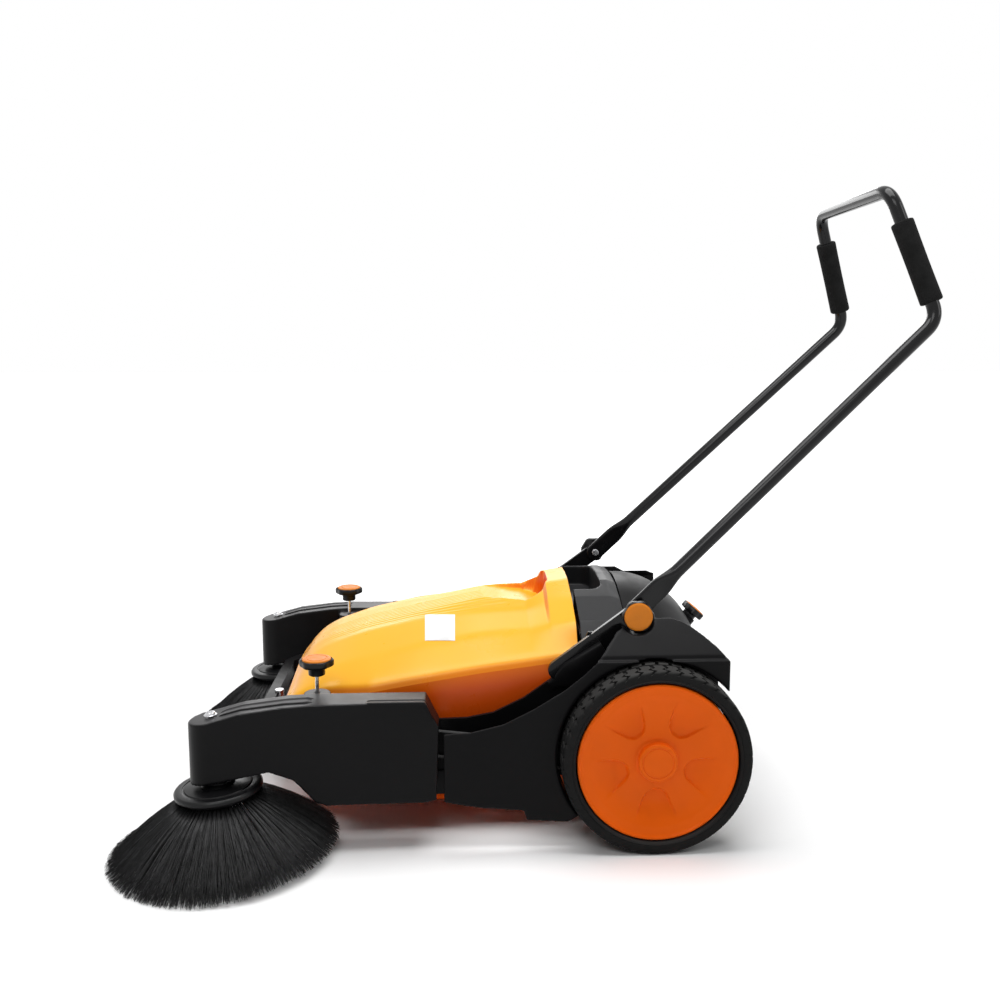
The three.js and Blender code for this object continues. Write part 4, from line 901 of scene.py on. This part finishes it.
def handleCorners():
    h = handleShape
    joint = jointNamed("handle_fold")
    pivot = Vector((joint["pos_m"][0], 0.238, joint["pos_m"][2]))
    a = math.radians(h["lowerAngle"])
    bend = Vector((pivot.x - h["lower"] * math.cos(a), h["bendHalf"],
                   pivot.z + h["lower"] * math.sin(a)))
    lean = math.radians(h["upperLean"])
    top = Vector((bend.x + h["upper"] * math.sin(lean), h["topHalf"],
                  bend.z + h["upper"] * math.cos(lean)))
    return pivot, bend, top


def bezier(a, b, c, steps):
    return [a * (1 - t) ** 2 + b * 2 * t * (1 - t) + c * t * t
            for t in (k / steps for k in range(steps + 1))]


def bentTube():
    h = handleShape
    pivot, bend, top = handleCorners()
    way = (bend - pivot).normalized()
    start = [pivot + way * d for d in (-0.0163, -0.0155, -0.0135, -0.010, -0.005, 0, 0.02, 0.04, 0.05,
                                       0.058,
                                       0.066, 0.074, 0.082, 0.09, 0.1)]
    left = start + [pivot + way * d for d in (0.15, 0.3, 0.45, 0.6)]
    left += bezier(bend - way * h["bendReach"], bend, bend + (top - bend).normalized() * h["bendReach"],
                   14)
    left += bezier(top - (top - bend).normalized() * h["cornerReach"], top,
                   top + Vector((0, -1, 0)) * h["cornerReach"], 18)
    path = left + [Vector((p.x, -p.y, p.z)) for p in reversed(left)]
    count = len(path)
    side = Vector((0, 1, 0))
    rings = []
    for i, p in enumerate(path):
        way = (path[min(i + 1, count - 1)] - path[max(i - 1, 0)]).normalized()
        side = (side - way * side.dot(way)).normalized()
        up = way.cross(side)
        near = pivot if p.y > 0 else Vector((pivot.x, -pivot.y, pivot.z))
        far = (p - near).length
        if i < 5 or i > count - 6:
            far = -far
        share = softStep(0.05, 0.094, far)
        wide = h["flatWide"] * (1 - share) + h["tube"] * share
        thick = h["flatThick"] * (1 - share) + h["tube"] * share
        if far < 0:
            wide = math.sqrt(max(0.000001, h["flatWide"] ** 2 - far ** 2))
        power = 1 - 0.62 * (1 - share)
        ring = []
        for k in range(40):
            a = 2 * math.pi * k / 40
            c, s = math.cos(a), math.sin(a)
            ring.append(p + side * (thick * math.copysign(abs(c) ** power, c))
                        + up * (wide * math.copysign(abs(s) ** power, s)))
        rings.append(ring)
    points, faces = bridge(rings)
    return makePiece("bentTube", points, faces, tubePaint, "handle", ["handle_frame"], 40)


def foamGrip(side, sign):
    bend, top = handleCorners()[1:]
    bend.y, top.y = bend.y * sign, top.y * sign
    way = (top - bend).normalized()
    start = bend + way * handleShape["gripFrom"]
    length = handleShape["gripLong"]
    radius = 0.0178
    profile = [(0.0116, 0.0), (0.0150, 0.0), (0.0165, 0.0005), (0.0175, 0.0017), (radius, 0.0035)]
    profile += [(radius - 0.0005 * math.sin(math.pi * k / 12),
                 0.0035 + (length - 0.007) * k / 12) for k in range(1, 12)]
    profile += [(radius, length - 0.0035), (0.0175, length - 0.0017), (0.0165, length - 0.0005),
                (0.0150, length), (0.0116, length)]
    return turnedPiece(side + "FoamGrip", profile, 64, facing(way, start), foamLook, "handle",
                       [side + "_grip"], mirrored=True)


bentTube()
for side, sign in (("left", 1), ("right", -1)):
    foamGrip(side, sign)
print("handle made")

# knobs

knobShape = {"lobes": 6, "lobeDepth": 0.0024}


def lobeAt(radius, height, angle, share):
    wave = 0.5 - 0.5 * math.cos(knobShape["lobes"] * angle)
    return radius - share * knobShape["lobeDepth"] * wave, height, 0


def heightKnob(side):
    low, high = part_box(side + "_height_knob")
    spot = middle(side + "_height_knob")
    top = high.z
    radius = 0.027
    profile = [(0.0034, top - 0.0255), (0.0115, top - 0.0255), (0.0128, top - 0.0245),
               (0.0130, top - 0.0150),
               (0.0140, top - 0.0125), (0.0185, top - 0.0118, 0.2), (0.0240, top - 0.0112, 0.7),
               (0.0258, top - 0.0103, 0.9), (0.0267, top - 0.0090, 1), (radius, top - 0.0075, 1),
               (radius, top - 0.0030, 1), (0.0266, top - 0.0014, 1), (0.0256, top - 0.0004, 0.8),
               (0.0246, top, 0.5), (0.0236, top - 0.0004), (0.0232, top - 0.0028),
               (0.0001, top - 0.0028)]
    matrix = Matrix.Translation((spot.x, spot.y, 0))
    turnedPiece(side + "LobedKnob", profile + [(0.0001, top - 0.010), (0.0034, top - 0.011)], 120, matrix,
                knobPlastic,
                side + "_height", [side + "_height_knob"], lobeAt, mirrored=True)
    low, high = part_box(side + "_height_knob_cap")
    r, foot, head = 0.0226, low.z, high.z
    dome = [(0.0001, foot), (r - 0.0004, foot), (r, foot + 0.0004), (r, head - 0.0020),
            (r - 0.0006, head - 0.0009),
            (r - 0.0020, head - 0.0003), (r - 0.0060, head), (r - 0.0064, head - 0.0005),
            (r - 0.0074, head - 0.0005),
            (r - 0.0078, head), (0.0001, head)]
    turnedPiece(side + "KnobCap", dome, 96, matrix, knobCapPlastic, side + "_height",
                [side + "_height_knob_cap"], mirrored=True)


def clampKnob(side, sign):
    low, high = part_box(side + "_clamp_knob")
    start = low.y if sign > 0 else high.y
    spot = Vector((middle(side + "_clamp_knob").x, start, middle(side + "_clamp_knob").z))
    r = 0.025
    profile = [(0.0044, 0.0), (0.0125, 0.0), (0.013, 0.0005), (0.013, 0.0070), (0.0145, 0.0078),
               (r - 0.0022, 0.0080, 0.6), (r - 0.0008, 0.0086, 1), (r, 0.0100, 1), (r, 0.0180, 1),
               (r - 0.0005, 0.0196, 1), (r - 0.0014, 0.0206, 0.6), (r - 0.0022, 0.0205, 0.2),
               (r - 0.0024, 0.0195),
               (r - 0.0024, 0.0178), (0.0001, 0.0178), (0.0001, 0.0128), (0.0044, 0.0128)]
    matrix = outward(spot, sign)
    turnedPiece(side + "LobedClampKnob", profile, 120, matrix, knobPlastic, side + "_clamp",
                [side + "_clamp_knob"], lobeAt)
    low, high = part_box(side + "_clamp_knob_cap")
    start = low.y if sign > 0 else high.y
    thick = high.y - low.y
    r = (high.x - low.x) / 2
    dome = [(0.0001, 0.0), (r, 0.0), (r, thick - 0.0018), (r - 0.0008, thick - 0.0008),
            (r - 0.0024, thick - 0.0001),
            (r - 0.006, thick), (0.0001, thick)]
    turnedPiece(side + "ClampCap", dome, 96, outward(Vector((spot.x, start, spot.z)), sign),
                knobCapPlastic,
                side + "_clamp", [side + "_clamp_knob_cap"])


def rearKnob():
    joint = jointNamed("roller_height_knob_turn")
    matrix = facing(joint["axis"], Vector(joint["pos_m"]))
    r, foot = 0.022, 0.0323
    profile = [(0.0001, -0.06), (0.004, -0.06), (0.004, foot), (0.0115, foot), (0.012, foot + 0.0005),
               (0.012, foot + 0.0052), (0.0135, foot + 0.006), (r - 0.0016, foot + 0.0063, 0.8),
               (r, foot + 0.0078, 1),
               (r, foot + 0.0160, 1), (r - 0.0008, foot + 0.0176, 1), (r - 0.0018, foot + 0.0179, 0.4),
               (r - 0.0025, foot + 0.0170), (r - 0.0025, foot + 0.0151), (0.0001, foot + 0.0151)]
    turnedPiece("lobedRearKnob", profile, 108, matrix, knobPlastic, "roller_height_knob",
                ["roller_knob"], lobeAt, mirrored=True)
    r, foot = 0.0192, 0.0476
    dome = [(0.0001, foot), (r, foot), (r, foot + 0.0024), (r - 0.0012, foot + 0.0032),
            (r - 0.005, foot + 0.0036),
            (0.0001, foot + 0.0036)]
    turnedPiece("rearKnobCap", dome, 84, matrix, knobCapPlastic, "roller_height_knob",
                ["roller_knob_cap"], mirrored=True)


for side, sign in (("left", 1), ("right", -1)):
    heightKnob(side)
    clampKnob(side, sign)
rearKnob()
print("knobs made")

# hopper

hopperShape = {
    "crown": [(108, 366), (147, 360), (152, 350), (183, 343), (262, 333), (368, 311), (459, 290),
              (525, 268), (560, 245), (580, 215), (592, 180)],
    "shoulder": [(108, 347), (147, 341), (152, 330), (183, 320), (262, 314), (368, 304), (459, 284),
                 (525, 261), (560, 238), (580, 209), (592, 178)],
    "crease": [(108, 322), (147, 314), (183, 304), (262, 299), (368, 280), (459, 258), (525, 241),
               (560, 222),
               (580, 199), (592, 174)],
    "shoulderOut": [(108, 118), (147, 102), (183, 84)],
    "creaseOut": [(108, 184), (147, 172), (183, 160)],
    "edge": [(108, 286), (183, 276), (262, 266), (368, 249), (459, 233), (525, 226), (560, 212),
             (580, 192), (592, 170)],
    "halfWidth": [(440, 225), (490, 208), (592, 203)],
    "floor": [(440, 32), (580, 150)],
    "step": 92, "foot": 203, "wall": 3, "creaseRound": 8,
    "grooveWidth": 9, "grooveDepth": 0.8, "grooveHalf": 78,
    "scoopBack": 142, "scoopHalf": 66, "scoopRound": 40, "scoopEnd": 270, "scoopFloor": 312,
               "scoopSlope": 10,
}


def easedBetween(table, x):
    # the table's line, eased over a short length so that the roof has no kinks along it
    if x < 190:
        return between(table, x)
    return sum(between(table, x + k) for k in (-16, -10, -5, 0, 5, 10,
                                               16)) / 7 if x < 574 else between(table, x)


def scoopShare(x, y, grow):
    h = hopperShape
    back = h["scoopBack"] - grow
    if x < back or x > h["scoopEnd"] + 6:
        return 0
    turnEnd = h["scoopBack"] + h["scoopRound"]
    if x < turnEnd:
        round2 = (h["scoopRound"] + grow) ** 2 - (turnEnd - x) ** 2
        half = h["scoopHalf"] - h["scoopRound"] + math.sqrt(max(0, round2))
    else:
        half = h["scoopHalf"] + grow - 26 * (x - turnEnd) / (h["scoopEnd"] - turnEnd)
    return softStep(0, 4.5, half - abs(y))


def roofPoint(x, y, z, wall):
    h = hopperShape
    share = scoopShare(x, y, wall)
    if share:
        floor = h["scoopFloor"] + (x - h["scoopBack"]) * math.tan(math.radians(h["scoopSlope"])) - wall
        z = z * (1 - share) + min(z, floor) * share
    if not wall:
        fade = softStep(200, 235,
                        x) * (1 - softStep(500, 540, x)) * (1 - softStep(h["grooveHalf"] - 5,
                                                                         h["grooveHalf"], abs(y)))
        z -= h["grooveDepth"] * fade * (0.5 - 0.5 * math.cos(2 * math.pi * y / h["grooveWidth"])) ** 2
    return z


def roofPath(x, wall):
    h = hopperShape
    half = between(h["halfWidth"], x) - wall
    crown, shoulder, crease, edge = (easedBetween(h[n], x) - wall for n in ("crown", "shoulder", "crease",
                                                                            "edge"))
    corners = [(0, crown, 0), (46, crown - 2, 0), (between(h["shoulderOut"], x), shoulder, 0),
               (between(h["creaseOut"], x), crease, 0), (half - 14, edge + 4, 0),
               (half - 4, edge - 3, 0), (half, edge - 14, 0)]
    return [(p.x, p.y) for p in roundPath(corners, h["creaseRound"], 6)], half, edge


def hopperSection(x, wall):
    h = hopperShape
    path, half, edge = roofPath(x, wall)
    ys = [1.5 * k for k in range(61)] + [90 + (half - 106) * k / 14 for k in range(1, 15)]
    roof = [(y, between(path, y)) for y in ys]
    tail = [p for p in path if p[0] > half - 15.5]
    lengths = [0]
    for a, b in zip(tail, tail[1:]):
        lengths.append(lengths[-1] + math.dist(a, b))
    turn = []
    for k in range(12):
        target = lengths[-1] * (k + 0.5) / 12
        turn.append((between(list(zip(lengths, [p[0] for p in tail])), target),
                     between(list(zip(lengths, [p[1] for p in tail])), target)))
    floor = between(h["floor"], x) + wall
    step = max(floor + 1, h["step"] + wall)
    foot = min(half, h["foot"] - wall)
    down = [(half, edge - 14 + (step - edge + 14) * k / 5) for k in range(6)]
    down += [(foot, step - 0.5), (foot - 0.4, (step + floor) / 2), (foot - 1, floor + 2),
             (foot - 3, floor), (foot / 2, floor)]
    points = [(y, roofPoint(x, y, z, wall)) for y, z in roof + turn] + down
    ring = [at(x / 1000, y / 1000, z / 1000) for y, z in points]
    return ring + [at(x / 1000, -y / 1000, z / 1000) for y, z in reversed(points[1:])]


def hopperLoft(name, stations):
    points, faces = bridge([hopperSection(x, wall) for x, wall in stations])
    mesh = bpy.data.meshes.new(name)
    mesh.from_pydata([tuple(p) for p in points], [], faces)
    made = bpy.data.objects.new(name, mesh)
    scene.collection.objects.link(made)
    return made


def cutter(name, rings):
    points, faces = bridge(rings)
    mesh = bpy.data.meshes.new(name)
    mesh.from_pydata([tuple(p) for p in points], [], faces)
    made = bpy.data.objects.new(name, mesh)
    scene.collection.objects.link(made)
    return made


def cutAway(piece, tool):
    cut = piece.modifiers.new("cut", "BOOLEAN")
    cut.operation = "DIFFERENCE"
    cut.solver = "MANIFOLD"
    cut.object = tool
    graph = bpy.context.evaluated_depsgraph_get()
    made = bpy.data.meshes.new_from_object(piece.evaluated_get(graph))
    piece.modifiers.clear()
    piece.data = made
    bpy.data.objects.remove(tool)


def hopperBody():
    h = hopperShape
    wall = h["wall"]
    xs = [108, 108.6] + [108 + 3.25 * k for k in range(1, 11)] + [141, 141.8, 142.3, 143, 144.5, 146,
                                                                  147]
    xs += [148.5, 150, 151, 152,
           153.5] + [156 + 3 * k for k in range(38)] + [270 + 7 * k for k in range(1, 44)]
    xs = [x for x in xs if x < 573] + [573, 577, 580, 584, 588]
    outer = hopperLoft("hopperShell",
                       [(108, 0.8)] + [(x, 0) for x in xs[1:]] + [(590, 0.5), (591.4, 1.4), (592, 2.8)])
    inner = hopperLoft("hopperRoom",
                       [(88, wall)] + [(x, wall) for x in xs if x < 578] + [(580, wall), (586, wall)])
    cutAway(outer, inner)
    roller = middle("roller_core")
    reach = 0.117
    arc = []
    for k in range(72):
        a = 2 * math.pi * k / 72
        arc.append((roller.x + reach * math.cos(a), roller.z + reach * math.sin(a)))
    cutAway(outer, cutter("mouth", [[Vector((x, y, z)) for x, z in arc] for y in (-0.3, 0.3)]))
    corners = [(78, 0), (138, 0), (138, 262), (78, 262)]
    cutAway(outer,
            cutter("behind", [[at(x / 1000, y, z / 1000) for x, z in corners] for y in (-0.3, 0.3)]))
    settle(outer, hopperPlastic, "hopper", ["hopper"], 50)
    return outer


def roofBlank():
    # the plain label's place on the roof, a thin sheet that follows it
    corners = [(356.7, 70.5), (305.0, 83.5), (304.9, 165.5), (354.4, 151.5)]
    a, b, c, d = (Vector((x, y, 0)) for x, y in corners)
    count = 12
    rings = []
    for lift in (0.0001, 0.0006):
        sheet = []
        for i in range(count + 1):
            for k in range(count + 1):
                u, v = i / count, k / count
                p = (a * (1 - u) + b * u) * (1 - v) + (d * (1 - u) + c * u) * v
                path = roofPath(p.x, 0)[0]
                z = roofPoint(p.x, p.y, between(path, p.y), 0)
                sheet.append(at(p.x / 1000, p.y / 1000, z / 1000 + lift))
        rings.append(sheet)
    points = rings[0] + rings[1]
    size = count + 1
    faces = []
    for i in range(count):
        for k in range(count):
            n = i * size + k
            faces.append((n, n + size, n + size + 1, n + 1))
            faces.append(tuple(size * size + m for m in (n, n + 1, n + size + 1, n + size)))
    makePiece("roofBlank", points, faces, blankLabel, "hopper", (), 30)


hopperBody()
roofBlank()
print("hopper made")

# camera, light and floor

studio = {"distance": 1.7897, "height": 0.7633, "along": 0.2975, "turn": -0.0477, "down": 0.1333,
          "lens": 36.73,
          "shiftX": -0.0068, "shiftY": -0.015, "background": 1.0, "surround": 0.1, "floor": 0.93,
          "nearGlow": 0.0, "glowFrom": 0.75, "glowTo": 2.6}


def placeCamera():
    s = studio
    camera = bpy.data.objects.new("camera", bpy.data.cameras.new("camera"))
    scene.collection.objects.link(camera)
    way = Vector((math.sin(s["turn"]) * math.cos(s["down"]), -math.cos(s["turn"]) * math.cos(s["down"]),
                  -math.sin(s["down"])))
    camera.location = at(s["along"], s["distance"], s["height"])
    camera.rotation_mode = "QUATERNION"
    camera.rotation_quaternion = way.to_track_quat("-Z", "Y")
    camera.data.sensor_width = 36
    camera.data.lens = s["lens"]
    camera.data.shift_x = s["shiftX"]
    camera.data.shift_y = s["shiftY"]
    camera.data.clip_end = 200
    scene.camera = camera


def softLight(name, place, target, size, watts, color=(1, 1, 1)):
    light = bpy.data.lights.new(name, "AREA")
    light.shape = "RECTANGLE"
    light.size, light.size_y = size
    light.energy = watts
    light.color = color
    lamp = bpy.data.objects.new(name, light)
    scene.collection.objects.link(lamp)
    lamp.location = place
    lamp.rotation_mode = "QUATERNION"
    lamp.rotation_quaternion = (Vector(target) - Vector(place)).to_track_quat("-Z", "Y")
    lamp.visible_camera = False


def whiteSurround():
    world = bpy.data.worlds.new("surround")
    scene.world = world
    world.use_nodes = True
    tree = world.node_tree
    tree.nodes.clear()
    out = tree.nodes.new("ShaderNodeOutputWorld")
    mix = tree.nodes.new("ShaderNodeMixShader")
    seen = tree.nodes.new("ShaderNodeBackground")
    lit = tree.nodes.new("ShaderNodeBackground")
    rays = tree.nodes.new("ShaderNodeLightPath")
    seen.inputs["Strength"].default_value = studio["background"]
    seen.inputs["Color"].default_value = (1, 1, 1, 1)
    lit.inputs["Color"].default_value = (1, 1, 1, 1)
    lit.inputs["Strength"].default_value = studio["surround"]
    direct = tree.nodes.new("ShaderNodeMath")
    direct.operation = "MAXIMUM"
    clear = tree.nodes.new("ShaderNodeMath")
    clear.operation = "MAXIMUM"
    tree.links.new(rays.outputs["Is Camera Ray"], direct.inputs[0])
    tree.links.new(rays.outputs["Is Glossy Ray"], direct.inputs[1])
    tree.links.new(direct.outputs[0], clear.inputs[0])
    tree.links.new(rays.outputs["Is Transmission Ray"], clear.inputs[1])
    tree.links.new(clear.outputs[0], mix.inputs[0])
    tree.links.new(lit.outputs[0], mix.inputs[1])
    tree.links.new(seen.outputs[0], mix.inputs[2])
    tree.links.new(mix.outputs[0], out.inputs["Surface"])


def paleFloor():
    reach = 30
    mesh = bpy.data.meshes.new("floor")
    mesh.from_pydata([(-reach, -reach, 0), (reach, -reach, 0), (reach, reach, 0), (-reach, reach, 0)], [],
                     [(0, 1, 2, 3)])
    floor = bpy.data.objects.new("floor", mesh)
    scene.collection.objects.link(floor)
    look, tree, shader, place = newLook("paleFloor")
    cloud = noiseOn(tree, place, 0.6, 3)
    tone = studio["floor"]
    tree.links.new(blendColors(tree, spread(tree, cloud, 0, 1), (tone, tone, tone),
                               (tone - 0.01, tone - 0.01, tone - 0.01)),
                   shader.inputs["Base Color"])
    shader.inputs["Roughness"].default_value = 0.85
    shader.inputs["Specular IOR Level"].default_value = 0.2
    # the floor glows, not at all near the machine and fully far off, so that it fades into the white
    # surround
    reachOf = tree.nodes.new("ShaderNodeVectorMath")
    reachOf.operation = "LENGTH"
    tree.links.new(place.outputs["Object"], reachOf.inputs[0])
    glow = spread(tree, reachOf.outputs["Value"], studio["nearGlow"], 1, studio["glowFrom"],
                  studio["glowTo"])
    shader.inputs["Emission Color"].default_value = (1, 1, 1, 1)
    tree.links.new(glow, shader.inputs["Emission Strength"])
    mesh.materials.append(look)


placeCamera()
whiteSurround()
paleFloor()
softLight("overhead", (0.1, 0.2, 2.5), (0.1, 0.0, 0.2), (2.2, 1.4), 62)
softLight("nearSide", (0.7, 2.0, 2.2), (0.0, 0.0, 0.2), (1.4, 0.8), 16)
softLight("rearSide", (-2.2, 1.0, 1.7), (-0.1, 0.0, 0.3), (0.7, 1.2), 9)
softLight("farSide", (0.0, -3.0, 1.6), (0.0, 0.0, 0.2), (3.0, 1.2), 40)
scene.view_settings.view_transform = "Standard"
print("studio made")
